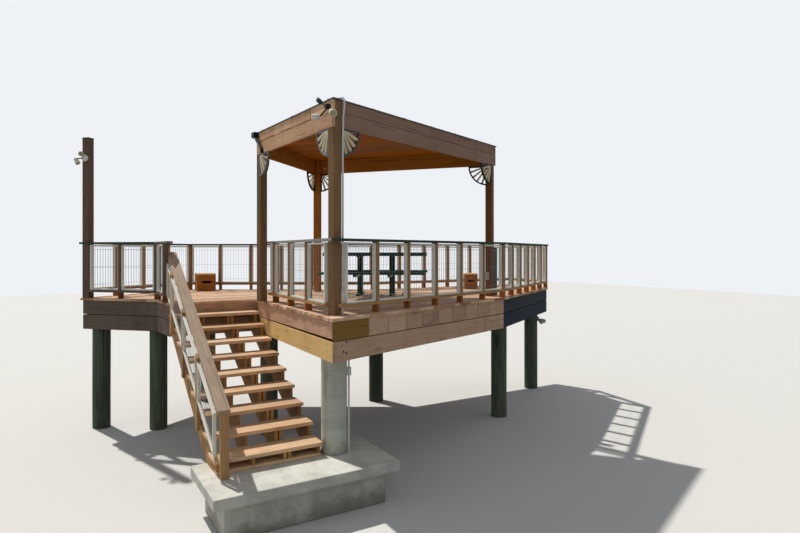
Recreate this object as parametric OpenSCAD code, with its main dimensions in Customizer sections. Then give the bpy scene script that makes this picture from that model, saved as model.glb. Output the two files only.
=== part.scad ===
// Raised timber deck on piles, with a stair, mesh railings and a flat four-post canopy.
// The plan is an irregular polygon. Its sides are given by length and heading, and every
// board, rail and panel takes its place from that outline.

/* [Deck plan] */
// Length of the front side, from the near corner
front_len = 3980; // [3700:20:4300]
// Heading of the front side, in degrees from +X
front_heading = 20; // [16:1:24]
// Length of the dark end side
end_len = 3030; // [2800:10:3200]
// Heading of the end side
end_heading = 31.6; // [28:0.2:35]
// Slant of the stair side, measured at its far end
stair_side_slant = 90; // [70:5:130]
// Length of the short right side
right_len = 1400; // [1200:20:1600]
// Heading of the right side
right_heading = 81; // [75:1:90]
// Length of the back side, which runs towards -X
back_len = 3690; // [3500:10:3900]
// Length of the rear side
rear_len = 3690; // [3500:10:3900]
// Heading of the rear side
rear_heading = 149; // [145:1:153]
// Length of the left side
left_len = 2400; // [2250:2:2500]
// Heading of the left side
left_heading = 214.4; // [212:0.2:218]
// Length of the lamp side, from the lamp post to the stair
lamp_side_len = 1415; // [1300:5:1480]
// Heading of the lamp side
lamp_side_heading = 315.6; // [312:0.2:318]

/* [Deck] */
// Height of the deck above the landing
deck_rise = 1656; // [1500:12:1800]
// Thickness of the deck boards
floor_t = 38; // [28:1:50]
// Distance that the deck boards stand out past the fascia
nosing = 25; // [12:1:32]
// Thickness of the fascia and canopy boards
board_t = 38; // [30:1:50]
// Depth of a fascia board, a joist and a girder
board_h = 235; // [200:5:260]
// Open joint between the two fascia boards
board_gap = 10; // [4:1:16]
// Spacing of the joists
joist_pitch = 410; // [350:10:600]
// Thickness of a joist
joist_t = 50; // [38:1:70]
// Width of a girder
girder_w = 90; // [70:5:110]

/* [Piles] */
// Diameter of a timber pile
pile_d = 280; // [220:10:320]
// Diameter of the concrete column
column_d = 310; // [260:10:360]
// Depth of the pile feet below the top of the landing
foot_drop = 500; // [400:20:700]

/* [Landing] */
// Length of the landing slab, across the stair
landing_l = 2120; // [2000:10:2300]
// Width of the landing slab, along the stair
landing_w = 1090; // [1000:10:1250]
// Thickness of the landing slab
landing_t = 120; // [90:10:160]
// Set-back of the footing under the slab
footing_inset = 130; // [80:10:200]

/* [Canopy] */
// Height of the canopy fascia's top above the deck
canopy_h = 2560; // [2400:20:2800]
// Length of the canopy's front side
canopy_front_len = 3975; // [3800:25:4100]
// Heading of the canopy's front side
canopy_front_heading = 21.4; // [20:0.2:23]
// Length of the canopy's left side
canopy_left_len = 2500; // [2350:10:2600]
// Heading of the canopy's left side
canopy_left_heading = 93.4; // [92:0.2:95]
// Length of the canopy's rear side
canopy_rear_len = 2320; // [2200:10:2450]
// Heading of the canopy's rear side
canopy_rear_heading = 44.5; // [42:0.5:47]
// Width of a canopy post
post_w = 115; // [100:5:125]
// Depth of the upper canopy board
upper_h = 140; // [110:5:160]
// Depth of the lower canopy board
lower_h = 184; // [160:4:200]
// Thickness of the roof sheet
roof_t = 14; // [8:1:25]
// Overhang of the roof sheet
roof_lip = 12; // [4:1:30]
// Thickness of the ceiling boards
ceiling_t = 19; // [12:1:25]
// Depth of the rafters between the ceiling and the roof sheet
rafter_h = 64; // [50:2:90]
// Spacing of the rafters
rafter_pitch = 560; // [400:20:700]

/* [Brackets] */
// Radius of a quarter-wheel bracket
wheel_r = 335; // [280:5:380]
// Width of its rim
wheel_rim = 24; // [16:1:34]
// Thickness of the bracket
wheel_t = 30; // [20:1:36]
// Radius of its hub
hub_r = 62; // [45:1:80]
// Number of spokes
spokes = 4; // [3:1:6]
// Width of a spoke at its outer end
spoke_w = 34; // [24:1:42]

/* [Railing] */
// Height of the railing's top above the deck
rail_h = 914; // [850:10:1000]
// Width of the top rail
rail_w = 118; // [95:1:140]
// Thickness of the top rail
rail_t = 32; // [25:1:40]
// Inset of the railing's middle from the deck's edge
rail_inset = 48; // [46:1:80]
// Height of the blocks under the bottom rail
foot_h = 98; // [70:2:130]
// Thickness of the bottom rail
low_rail_t = 38; // [30:1:45]
// Thickness of a rail post, along the railing
baluster_t = 38; // [30:1:45]
// Width of a rail post, across the railing
baluster_w = 89; // [75:1:95]
// Width of a corner post of the railing
corner_w = 72; // [60:2:90]
// Face width of a panel's metal frame
frame_w = 24; // [16:1:34]
// Depth of a panel's metal frame
frame_d = 50; // [35:1:60]
// Spacing of the rail posts beside the stair
stair_side_pitch = 690; // [640:10:720]
// Space between a panel's frame and the top rail
panel_gap = 12; // [6:1:20]

/* [Stair] */
// Width of the stair
stair_w = 1255; // [1200:5:1300]
// Number of risers
risers = 10; // [9:1:11]
// Going of a tread
going = 310; // [290:5:320]
// Depth of a tread board
tread_d = 335; // [325:1:345]
// Thickness of a tread
tread_t = 44; // [36:1:50]
// Thickness of a stringer
stringer_t = 38; // [34:1:45]
// Depth of a stringer below its notches
stringer_h = 190; // [160:5:220]
// Width of the flat handrail
handrail_w = 140; // [110:5:160]
// Thickness of the handrail
handrail_t = 38; // [30:1:45]
// Height of the handrail above the line of the nosings
handrail_h = 660; // [620:5:720]
// Spacing of the posts of the stair railing
stair_post_pitch = 860; // [780:10:900]

/* [Lamp post] */
// Width of the tall lamp post
lamp_post_w = 120; // [110:5:140]
// Height of the lamp post above the deck
lamp_post_h = 2630; // [2400:10:2800]

/* [Furniture] */
// Length of the picnic table
table_l = 1780; // [1500:20:1900]
// Width of the table top
table_w = 720; // [640:10:800]
// Height of the table top
table_h = 745; // [700:5:780]
// Height of the benches
bench_h = 415; // [400:5:460]
// Side of the largest box seat
box_w = 340; // [300:5:400]
// Height of the largest box seat
box_h = 335; // [300:5:400]

/* [Hidden] */
$fn = 48;
// Clearance between pieces that seat on each other
fit = 0.3;

// Vector helpers in plan
function dir(a) = [cos(a), sin(a)];
function left_of(d) = [-d.y, d.x];
function cross2(a, b) = a.x * b.y - a.y * b.x;
function unit(v) = v / norm(v);
function heading_of(d) = atan2(d.y, d.x);
function line_hit(p, d, q, e) = p + d * cross2(q - p, e) / cross2(d, e);
function side_dir(ring, i) = unit(ring[(i + 1) % len(ring)] - ring[i]);
// A ring moved inwards, with its own distance for each side
function inset_ring(ring, ins) = [
    for (i = [0:len(ring) - 1])
        let (
            j = (i + len(ring) - 1) % len(ring),
            di = side_dir(ring, i),
            dj = side_dir(ring, j)
        )
        line_hit(ring[j] + left_of(dj) * ins[j], dj, ring[i] + left_of(di) * ins[i], di)
];
function even_inset(ring, d) = inset_ring(ring, [for (p = ring) d]);

// Levels
landing_top = foot_drop;
riser = deck_rise / risers;
deck_top = landing_top + deck_rise;
floor_under = deck_top - floor_t;
joist_under = floor_under - board_h;
girder_under = joist_under - board_h;
rail_under = deck_top + rail_h - rail_t;
low_rail_top = deck_top + foot_h + low_rail_t;
canopy_top = deck_top + canopy_h;
canopy_under = canopy_top - upper_h - lower_h;
ceiling_under = canopy_top - rafter_h - ceiling_t;

// Deck outline, counter-clockwise from the near corner. The stair runs beside the last side.
// Distance from the near corner's X to the right end of the treads, below the deck's edge
stair_reach = 55;
stair_top_y = risers * going + 55;
near_corner = [295, -305];
p_front = near_corner + dir(front_heading) * front_len;
p_end = p_front + dir(end_heading) * end_len;
p_right = p_end + dir(right_heading) * right_len;
p_back = p_right - [back_len, 0];
p_rear = p_back + dir(rear_heading) * rear_len;
p_left = p_rear + dir(left_heading) * left_len;
p_lamp = p_left + dir(lamp_side_heading) * lamp_side_len;
p_stair_left = near_corner + [stair_reach - stair_w - 20, stair_top_y];
p_stair_right = near_corner + [stair_side_slant, stair_top_y];
deck_ring = [
    near_corner, p_front, p_end, p_right, p_back,
    p_rear, p_left, p_lamp, p_stair_left, p_stair_right,
];
// Sides by number: 0 front, 1 end, 2 right, 3 back, 4 rear, 5 left, 6 lamp side, 7 strip,
// 8 head of the stair, 9 stair side
fascia_ring = even_inset(deck_ring, nosing);
frame_ring = even_inset(deck_ring, nosing + board_t + fit);
stair_side_inset = 120;
// The short strip of railing at the head of the stair clears the handrail
strip_inset = 37;
rail_insets = [
    for (i = [0:9]) i == 9 ? stair_side_inset : i == 7 ? strip_inset : rail_inset
];
// The front railing starts well back from the deck's edge at the near corner
front_set_back = 140;
function railing_line(off) =
    let (r = inset_ring(deck_ring, [for (v = rail_insets) v + off]))
    [for (i = [0:9]) i == 0 ? r[0] + [0, front_set_back] : r[i]];
rail_ring = railing_line(0);
rail_bays = [6, 6, 2, 6, 6, 4, 2, 1, 0, 4];

// Canopy outline, counter-clockwise from its near corner: front, right, rear and left side
canopy_near = near_corner + [145, 275];
canopy_right = canopy_near + dir(canopy_front_heading) * canopy_front_len;
canopy_left = canopy_near + dir(canopy_left_heading) * canopy_left_len;
canopy_back = canopy_left + dir(canopy_rear_heading) * canopy_rear_len;
canopy_ring = [canopy_near, canopy_right, canopy_back, canopy_left];
canopy_inner = even_inset(canopy_ring, board_t + fit);

// Each post is turned so that its edge faces out at its corner. The left one stands
// parallel to the near one.
function bisector(ring, i) = unit(
    side_dir(ring, i) - side_dir(ring, (i + len(ring) - 1) % len(ring))
);
post_turns = [
    for (i = [0:3]) heading_of(bisector(canopy_ring, i == 3 ? 0 : i)) - 45
];
function reach(half, turn, heading) = half * (abs(cos(turn - heading)) + abs(sin(turn - heading)));
function post_centre(i) =
    let (
        j = (i + 3) % 4,
        di = side_dir(canopy_ring, i),
        dj = side_dir(canopy_ring, j),
        ri = reach(post_w / 2, post_turns[i], heading_of(di)),
        rj = reach(post_w / 2, post_turns[i], heading_of(dj))
    )
    line_hit(canopy_ring[j] + left_of(dj) * rj, dj, canopy_ring[i] + left_of(di) * ri, di);

// The conduit runs down the near post's right edge, in front of the bracket there
conduit_d = 24;
// An elbow is a little fatter than the pipe
elbow_share = 1.12;
conduit_half = conduit_d * elbow_share / 2 + fit;
conduit_out = conduit_half - (board_t - wheel_t) / 2;
post_edge =
    let (t = dir(post_turns[0]))
    post_centre(0) + (t - left_of(t)) * post_w / 2;
conduit_at =
    let (f = dir(canopy_front_heading))
    post_edge + f * sqrt(pow(conduit_half, 2) - pow(conduit_out, 2))
        - left_of(f) * conduit_out;

lamp_post_turn = lamp_side_heading;
lamp_post_inset = 8;
lamp_post_at =
    let (
        d5 = side_dir(deck_ring, 5),
        d6 = side_dir(deck_ring, 6),
        r5 = reach(lamp_post_w / 2, lamp_post_turn, heading_of(d5)) + lamp_post_inset,
        r6 = lamp_post_w / 2 + lamp_post_inset
    )
    line_hit(p_left + left_of(d5) * r5, d5, p_left + left_of(d6) * r6, d6);

// Foundations, from the near corner
column_at = near_corner + [228, 440];
piles = [
    for (p = [
        [4120, 1960], [6130, 3260], [2760, 4020], [-60, 5720],
        [-1980, 4860], [-1180, 4300], [300, 3100],
    ]) near_corner + p
];
// The girders meet off the centre of the pile beside the stair, to clear the inner corner
stair_seat = piles[6] + [50, 50];
girder_lines = [
    [column_at, piles[0]], [piles[0], piles[1]], [piles[1], piles[2]], [piles[2], piles[3]],
    [piles[3], piles[4]], [piles[4], piles[5]], [piles[5], stair_seat],
    [stair_seat, column_at], [stair_seat, piles[2]],
];

// Stair. Its run points towards -Y, beside the stair side of the deck.
stair_right_x = near_corner.x + stair_reach;
stair_left_x = stair_right_x - stair_w;
stair_head_y = p_stair_right.y;
run_slope = riser / going;
pitch_angle = atan(run_slope);
// Height of the line through the nosings at a place along the run
nosing_y = [for (k = [1:risers - 1]) stair_head_y + nosing - tread_d - (k - 1) * going];
function nosing_line(y) = landing_top + riser + (y - nosing_y[risers - 2]) * run_slope;
newel_w = 89;
newel_t = 60;
newel_y = nosing_y[risers - 2] - 105;
newel_x = stair_left_x + 74;
handrail_x = stair_left_x + 60;
handrail_end_y = stair_head_y + 180;

// Colours
wood_tan = [0.62, 0.45, 0.33];
wood_brown = [0.36, 0.25, 0.18];
wood_grey = [0.52, 0.50, 0.47];
wood_dark = [0.15, 0.15, 0.17];
wood_orange = [0.50, 0.30, 0.14];
concrete_grey = [0.70, 0.69, 0.65];
zinc = [0.75, 0.77, 0.76];
cream = [0.85, 0.82, 0.72];
black = [0.06, 0.06, 0.06];
green = [0.06, 0.15, 0.12];
white = [0.92, 0.92, 0.90];

// Plain shapes

// A post of square section that stands at a place in plan
module square_post(at, w, turn, low, high) {
    translate([at.x, at.y, low])
        rotate([0, 0, turn])
            translate([-w / 2, -w / 2, 0])
                cube([w, w, high - low]);
}

// A level board along one side between two rings, mitred at both ends
module side_board(outer, inner, i, low, h) {
    j = (i + 1) % len(outer);
    d = side_dir(outer, i) * fit / 2;
    translate([0, 0, low])
        linear_extrude(h)
            polygon([outer[i] + d, outer[j] - d, inner[j] - d, inner[i] + d]);
}

// A round pipe through a list of places, with ball corners
module pipe(points, d) {
    for (i = [0:len(points) - 2]) {
        v = points[i + 1] - points[i];
        translate(points[i])
            rotate([0, acos(v.z / norm(v)), atan2(v.y, v.x)])
                cylinder(d = d, h = norm(v), $fn = 24);
    }
    for (i = [1:len(points) - 2])
        translate(points[i])
            sphere(d = d * elbow_share, $fn = 24);
}

// Everything that stands on the deck and that the railing is cut round
module standing_posts(grow) {
    translate([conduit_at.x, conduit_at.y, landing_top])
        cylinder(d = conduit_d + 2 * grow, h = canopy_under - landing_top);
    for (i = [0:3])
        square_post(post_centre(i), post_w + 2 * grow, post_turns[i], landing_top, canopy_top);
    square_post(lamp_post_at, lamp_post_w + 2 * grow, lamp_post_turn, landing_top, canopy_top);
}

// Foundations

module landing() {
    color(concrete_grey) {
        translate([-landing_l / 2, -landing_w / 2, landing_top - landing_t])
            cube([landing_l, landing_w, landing_t]);
        translate([-landing_l / 2 + footing_inset, -landing_w / 2 + footing_inset, 0])
            cube([
                landing_l - 2 * footing_inset,
                landing_w - 2 * footing_inset,
                landing_top - landing_t
            ]);
    }
}

module concrete_column() {
    color(concrete_grey)
        translate([column_at.x, column_at.y, landing_top])
            cylinder(d = column_d, h = girder_under - landing_top);
}

module timber_piles() {
    color(wood_dark)
        for (p = piles)
            translate([p.x, p.y, 0])
                cylinder(d = pile_d, h = girder_under);
}

// Distance to cut from a girder's end so that it clears the others over the same pile
function girder_trim(g, at) = max([
    for (o = girder_lines)
        let (
            shares = o != g && (o[0] == at || o[1] == at),
            d = unit(g[0] == at ? g[1] - at : g[0] - at),
            e = unit(o[0] == at ? o[1] - at : o[0] - at)
        )
        shares ? girder_w / 2 / tan(acos(d * e) / 2) + fit : 0
]);

module girders() {
    color(wood_brown)
        for (g = girder_lines) {
            a = girder_trim(g, g[0]);
            b = girder_trim(g, g[1]);
            translate([g[0].x, g[0].y, girder_under])
                rotate([0, 0, heading_of(g[1] - g[0])])
                    translate([a, -girder_w / 2, 0])
                        cube([norm(g[1] - g[0]) - a - b, girder_w, board_h]);
        }
}

module joists() {
    low_x = p_left.x + 120;
    high_x = p_right.x - 60;
    count = floor((high_x - low_x) / joist_pitch);
    color(wood_brown)
        translate([0, 0, joist_under])
            linear_extrude(board_h)
                intersection() {
                    polygon(frame_ring);
                    union() {
                        for (k = [0:count])
                            translate([low_x + k * joist_pitch, near_corner.y])
                                square([joist_t, p_rear.y - near_corner.y]);
                    }
                }
}

module deck_floor() {
    color(wood_tan)
        translate([0, 0, floor_under])
            linear_extrude(floor_t)
                polygon(deck_ring);
}

// The two fascia boards of one side
module fascia_boards(i) {
    side_board(fascia_ring, frame_ring_tight, i, joist_under + board_gap, board_h - board_gap);
    side_board(fascia_ring, frame_ring_tight, i, girder_under, board_h);
}
frame_ring_tight = even_inset(deck_ring, nosing + board_t);

module fascia_front() {
    color(wood_tan) fascia_boards(0);
}

module fascia_end() {
    color(wood_dark)
        for (i = [1, 2])
            fascia_boards(i);
}

module fascia_rear() {
    color(wood_brown)
        for (i = [3, 4])
            fascia_boards(i);
}

module fascia_left() {
    color(wood_brown)
        for (i = [5, 6, 7])
            fascia_boards(i);
}

module fascia_stair_side() {
    color(wood_brown)
        for (i = [8, 9])
            fascia_boards(i);
}

// Canopy

// Section of a canopy post
module post_section(i) {
    translate(post_centre(i))
        rotate(post_turns[i])
            square(post_w, center = true);
}

// A post, notched at its top to carry the canopy boards
module canopy_post(i) {
    color(wood_brown) {
        translate([0, 0, deck_top])
            linear_extrude(canopy_under - deck_top)
                post_section(i);
        translate([0, 0, canopy_under - 1])
            linear_extrude(ceiling_under - canopy_under + 1)
                intersection() {
                    post_section(i);
                    polygon(i == 0 ? near_post_limit : canopy_inner);
                }
        if (i == 0)
            translate([0, 0, ceiling_under - 1])
                linear_extrude(canopy_top - ceiling_under + 1)
                    difference() {
                        intersection() {
                            post_section(0);
                            polygon(near_post_limit);
                        }
                        polygon(even_inset(canopy_ring, board_t));
                    }
    }
}
// The near post reaches out to the face of the front boards
near_post_limit = inset_ring(canopy_ring, [for (i = [0:3]) i == 0 ? 0 : board_t + fit]);

module canopy_posts() {
    for (i = [0:3])
        canopy_post(i);
}

// At the near corner the post's front face shows between the boards, from the ground of
// the deck to the roof. The front boards start behind it and the left boards end at it.
near_turn = post_turns[0];
near_face = post_centre(0) + dir(near_turn - 90) * post_w / 2;
near_side = post_centre(0) + dir(near_turn) * (post_w / 2 + fit);

// One level board of the canopy
module canopy_board(i, low, h) {
    inner = even_inset(canopy_ring, board_t);
    j = (i + 1) % 4;
    d = side_dir(canopy_ring, i);
    a = [canopy_ring[i], inner[i]];
    b = [canopy_ring[j], inner[j]];
    starts = i == 0 ? [for (q = a) line_hit(q, d, near_side, dir(near_turn + 90))]
        : [for (q = a) q + d * fit / 2];
    ends = i == 3 ? [for (q = b) line_hit(q, d, near_face, dir(near_turn))]
        : [for (q = b) q - d * fit / 2];
    translate([0, 0, low])
        linear_extrude(h)
            polygon([starts[0], ends[0], ends[1], starts[1]]);
}

module canopy_boards(low, h) {
    for (i = [0:3])
        canopy_board(i, low, h);
}

module canopy_upper_boards() {
    color(wood_tan) canopy_boards(canopy_top - upper_h, upper_h);
}

module canopy_lower_boards() {
    seam = 5;
    color(wood_tan) canopy_boards(canopy_under, lower_h - seam);
}

module canopy_ceiling() {
    color(wood_orange)
        translate([0, 0, ceiling_under])
            linear_extrude(ceiling_t)
                polygon(canopy_inner);
}

module canopy_rafters() {
    back_heading = heading_of(side_dir(canopy_ring, 1));
    reach_len = canopy_front_len * 1.3;
    count = floor(canopy_front_len / rafter_pitch);
    color(wood_orange)
        translate([0, 0, canopy_top - rafter_h])
            linear_extrude(rafter_h)
                intersection() {
                    polygon(canopy_inner);
                    union() {
                        for (k = [0:count])
                            translate(
                                canopy_near + dir(back_heading - 90) * (k - 1) * rafter_pitch
                                - dir(back_heading) * reach_len / 2
                            )
                                rotate(back_heading)
                                    square([reach_len, joist_t]);
                    }
                }
}

module roof_sheet() {
    color(black)
        translate([0, 0, canopy_top])
            linear_extrude(roof_t)
                polygon(even_inset(canopy_ring, -roof_lip));
}

// Brackets. Each canopy corner has two, one under each of its sides.

module wheel_rim_shape() {
    difference() {
        intersection() {
            circle(r = wheel_r);
            translate([0, -wheel_r])
                square(wheel_r);
        }
        intersection() {
            circle(r = wheel_r - wheel_rim);
            translate([wheel_rim, -wheel_r])
                square([wheel_r, wheel_r - wheel_rim]);
        }
    }
}

module wheel_spoke_shape() {
    reach_out = wheel_r - wheel_rim - fit;
    step = 90 / (spokes + 1);
    translate([wheel_rim + fit, -wheel_rim - fit])
        intersection() {
            circle(r = hub_r);
            translate([0, -hub_r])
                square(hub_r);
        }
    intersection() {
        circle(r = reach_out);
        translate([wheel_rim + fit, -wheel_r - wheel_rim - fit])
            square([wheel_r, wheel_r]);
        union() {
            for (k = [1:spokes])
                rotate(-k * step)
                    polygon([
                        [hub_r * 0.6, -spoke_w * 0.25], [wheel_r, -spoke_w / 2],
                        [wheel_r, spoke_w / 2], [hub_r * 0.6, spoke_w * 0.25],
                    ]);
        }
    }
}

// Distance from a corner of the canopy, along one side, to the far face of its post
function post_exit(corner, d, inward) =
    let (
        start = canopy_ring[corner] + inward * board_t / 2 - post_centre(corner),
        turn = post_turns[corner],
        sx = start.x * cos(turn) + start.y * sin(turn),
        sy = start.y * cos(turn) - start.x * sin(turn),
        dx = d.x * cos(turn) + d.y * sin(turn),
        dy = d.y * cos(turn) - d.x * sin(turn),
        tx = abs(dx) < 0.001 ? post_w * 9 : (sign(dx) * post_w / 2 - sx) / dx,
        ty = abs(dy) < 0.001 ? post_w * 9 : (sign(dy) * post_w / 2 - sy) / dy
    )
    min(tx, ty);

// Places a flat shape as a bracket: hub corner against the post and the board above
module bracket(corner, d, inward) {
    at = canopy_ring[corner] + inward * board_t / 2 + d * (post_exit(corner, d, inward) - 8);
    difference() {
        translate([at.x, at.y, canopy_under - fit])
            rotate([0, 0, heading_of(d)])
                rotate([90, 0, 0])
                    translate([0, 0, -wheel_t / 2])
                        linear_extrude(wheel_t)
                            children();
        square_post(post_centre(corner), post_w + 2 * fit, post_turns[corner], deck_top, canopy_top);
    }
}

module all_brackets() {
    for (i = [0:3]) {
        d_on = side_dir(canopy_ring, i);
        d_back = -side_dir(canopy_ring, (i + 3) % 4);
        bracket(i, d_on, left_of(d_on))
            children();
        bracket(i, d_back, -left_of(d_back))
            children();
    }
}

module wheel_bracket_rims() {
    color(black)
        all_brackets()
            wheel_rim_shape();
}

module wheel_bracket_spokes() {
    color(cream)
        all_brackets()
            wheel_spoke_shape();
}

// Railing

// Ends of the railing's middle line on one side. The stair side ends at the left post.
function rail_start(i) = i == 9 ? [rail_ring[0].x, post_centre(3).y] : rail_ring[i];
function rail_stop(i) = i == 7 ? [rail_ring[7].x, p_stair_left.y + 60] : rail_ring[(i + 1) % 10];
function bay_point(i, k) =
    i == 9
    ? (k == 0 ? stair_rail_at(post_centre(3).y)
        : stair_rail_at(post_centre(0).y + (rail_bays[9] - k) * stair_side_pitch))
    : i == 0
    ? front_rail_start + (rail_ring[1] - front_rail_start) * k / rail_bays[0]
    : rail_start(i) + (rail_stop(i) - rail_start(i)) * k / rail_bays[i];
front_rail_start = rail_ring[0] + side_dir(rail_ring, 0) * 115;
// Point of the stair side's rail line at a given Y
function stair_rail_at(y) = line_hit(rail_ring[9], side_dir(rail_ring, 9), [0, y], [1, 0]);

// Distance from the start of a side to where it clears the corner post that it shares
function corner_trim(i, k) =
    i == 0 || i == 9 ? 0
    : reach(corner_w / 2, heading_of(side_dir(rail_ring, i - 1)), heading_of(side_dir(rail_ring, i)))
        + fit;

// The flat bottom rail between two corner posts
module low_rail(a, b, trim_a, trim_b) {
    translate([a.x, a.y, deck_top + foot_h])
        rotate([0, 0, heading_of(b - a)])
            translate([trim_a, -baluster_w / 2, 0])
                cube([norm(b - a) - trim_a - trim_b, baluster_w, low_rail_t]);
}

module railing_side(i) {
    n = rail_bays[i];
    a = bay_point(i, 0);
    b = bay_point(i, n);
    d = unit(b - a);
    h = heading_of(d);
    difference() {
        union() {
            low_rail(a, b, corner_trim(i, 0), corner_w / 2 + fit);
            for (k = [1:max(1, n - 1)]) {
                p = bay_point(i, k);
                if (k < n) {
                    translate([p.x, p.y, deck_top])
                        rotate([0, 0, h])
                            translate([-baluster_t / 2, -baluster_w / 2, 0])
                                cube([baluster_t, baluster_w, rail_under - deck_top]);
                }
            }
        }
        standing_posts(fit);
        if (i == 3 || i == 6) {
            last_rail_space(i - 1);
        }
    }
    // The lamp post stands in for the corner post at the end of side 5
    if (i != 9 && i != 5) {
        square_post(b, corner_w, h, deck_top, rail_under);
    }
}

// The space of the bottom rail before a corner, which the next rail is cut back from
module last_rail_space(i) {
    a = bay_point(i, 0);
    b = bay_point(i, rail_bays[i]);
    translate([a.x, a.y, deck_top + foot_h - 1])
        rotate([0, 0, heading_of(b - a)])
            translate([0, -baluster_w / 2 - fit, 0])
                cube([norm(b - a) - corner_w / 2, baluster_w + 2 * fit, low_rail_t + 2]);
}

module rail_frame_front() {
    color(wood_brown) railing_side(0);
}

module rail_frame_end() {
    color(wood_brown)
        for (i = [1, 2])
            railing_side(i);
}

module rail_frame_rear() {
    color(wood_brown)
        for (i = [3, 4])
            railing_side(i);
}

module rail_frame_left() {
    color(wood_brown)
        for (i = [5, 6, 7])
            railing_side(i);
}

module rail_frame_stair_side() {
    color(wood_brown) railing_side(9);
}

// One upright metal frame between two posts of the railing
module panel_frame(a, b, trim_a, trim_b) {
    d = unit(b - a);
    span = norm(b - a) - trim_a - trim_b;
    h = rail_under - panel_gap - low_rail_top;
    translate([a.x, a.y, low_rail_top])
        rotate([0, 0, heading_of(d)])
            translate([trim_a, -frame_d / 2, 0])
                difference() {
                    cube([span, frame_d, h]);
                    translate([frame_w, -1, frame_w])
                        cube([span - 2 * frame_w, frame_d + 2, h - 2 * frame_w]);
                }
}

module panels_side(i) {
    n = rail_bays[i];
    for (k = [0:n - 1]) {
        trim_a = k == 0 ? end_trim(i, 0) : baluster_t / 2 + fit;
        trim_b = k == n - 1 ? end_trim(i, 1) : baluster_t / 2 + fit;
        panel_frame(bay_point(i, k), bay_point(i, k + 1), trim_a, trim_b);
    }
}

// Distance from the end of a side's rail line to its first or last metal frame
function end_trim(i, last) =
    i == 9 ? post_w * 0.62
    : i == 0 && last == 0 ? 80
    : i == 5 && last == 1 ? lamp_post_w * 0.88
    : i == 6 && last == 0 ? lamp_post_w * 0.88
    : corner_w * 0.72;

module panels_front() {
    color(zinc) panels_side(0);
}

module panels_end() {
    color(zinc)
        for (i = [1, 2])
            panels_side(i);
}

module panels_rear() {
    color(zinc)
        for (i = [3, 4])
            panels_side(i);
}

module panels_left() {
    color(zinc)
        for (i = [5, 6, 7])
            panels_side(i);
}

module panels_stair_side() {
    color(zinc) panels_side(9);
}

module top_rails() {
    outer = railing_line(-rail_w / 2);
    inner = railing_line(rail_w / 2);
    color(wood_grey)
        difference() {
            union() {
                for (i = [0:7])
                    side_board(outer, inner, i, rail_under, rail_t);
                intersection() {
                    side_board(outer, inner, 9, rail_under, rail_t);
                    translate([p_left.x, near_corner.y, rail_under])
                        cube([
                            p_right.x - p_left.x,
                            post_centre(3).y + post_w / 2 - near_corner.y,
                            rail_t
                        ]);
                }
            }
            standing_posts(fit);
        }
}

// Stair

// Side view of a sawtooth stringer that stands on the sill, with its run along +x
module stringer_shape() {
    n = risers - 1;
    saw = [
        for (k = [0:n - 1])
            let (y = k * going, z = (k + 1) * riser - tread_t)
            each [[y, z], [y + going, z]]
    ];
    back = n * going - fit;
    top_z = n * riser - tread_t;
    drop = stringer_h / cos(pitch_angle);
    // Where the sloping underside meets the level of the landing
    heel = (drop - riser + tread_t) / run_slope + going;
    intersection() {
        polygon(concat(
            [[0, 0]],
            saw,
            [[back + going, top_z], [back + going, top_z - drop + riser], [heel, 0]]
        ));
        difference() {
            square([back, top_z]);
            square([sill_w + fit, sill_t]);
        }
    }
}
sill_w = 140;
sill_t = 38;

stringer_inset = 22;
stringer_foot_y = nosing_y[risers - 2] + tread_d - going;
// The stringers' places across the stair. The third is a pair.
stringer_xs =
    let (
        first = stair_left_x + stringer_inset,
        step = (stair_w - 2 * stringer_inset - stringer_t) / 3
    )
    [first, first + step, first + 2 * step - 27, first + 2 * step + 27, first + 3 * step];

module stringers() {
    color(wood_brown)
        for (x = stringer_xs)
            translate([x, stringer_foot_y, landing_top])
                rotate([90, 0, 90])
                    linear_extrude(stringer_t)
                        stringer_shape();
}

module treads() {
    color(wood_orange) {
        for (k = [1:risers - 1])
            translate([stair_left_x, nosing_y[k - 1], deck_top - k * riser - tread_t])
                cube([stair_w, tread_d - fit, tread_t]);
        translate([stair_left_x + stringer_inset, stringer_foot_y, landing_top])
            cube([stair_w - 2 * stringer_inset, sill_w, sill_t]);
    }
}

module handrail() {
    y0 = newel_y - 55;
    z0 = nosing_line(y0) + handrail_h;
    length = (handrail_end_y - y0) / cos(pitch_angle);
    color(wood_tan)
        translate([handrail_x - handrail_w / 2, y0, z0])
            rotate([pitch_angle, 0, 0])
                translate([0, 0, -handrail_t])
                    cube([handrail_w, length, handrail_t]);
}

handrail_drop = handrail_t / cos(pitch_angle);
function handrail_under(y) = nosing_line(y) + handrail_h - handrail_drop;
stair_post_ys = [
    for (k = [1:floor((stair_head_y - 250 - newel_y) / stair_post_pitch)])
        newel_y + k * stair_post_pitch
];

// An upright whose top is cut to the slope of the handrail
module raked_post(x, y, w, t, low) {
    translate([x - w / 2, 0, 0])
        rotate([90, 0, 90])
            linear_extrude(w)
                polygon([
                    [y - t / 2, low], [y + t / 2, low],
                    [y + t / 2, handrail_under(y + t / 2) - fit],
                    [y - t / 2, handrail_under(y - t / 2) - fit],
                ]);
}

module stair_posts() {
    color(wood_brown) {
        raked_post(newel_x, newel_y, newel_w, newel_t, landing_top);
        for (y = stair_post_ys)
            raked_post(
                stair_left_x - baluster_t / 2 - fit, y, baluster_t, baluster_w,
                nosing_line(y) - 260
            );
    }
}

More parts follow.
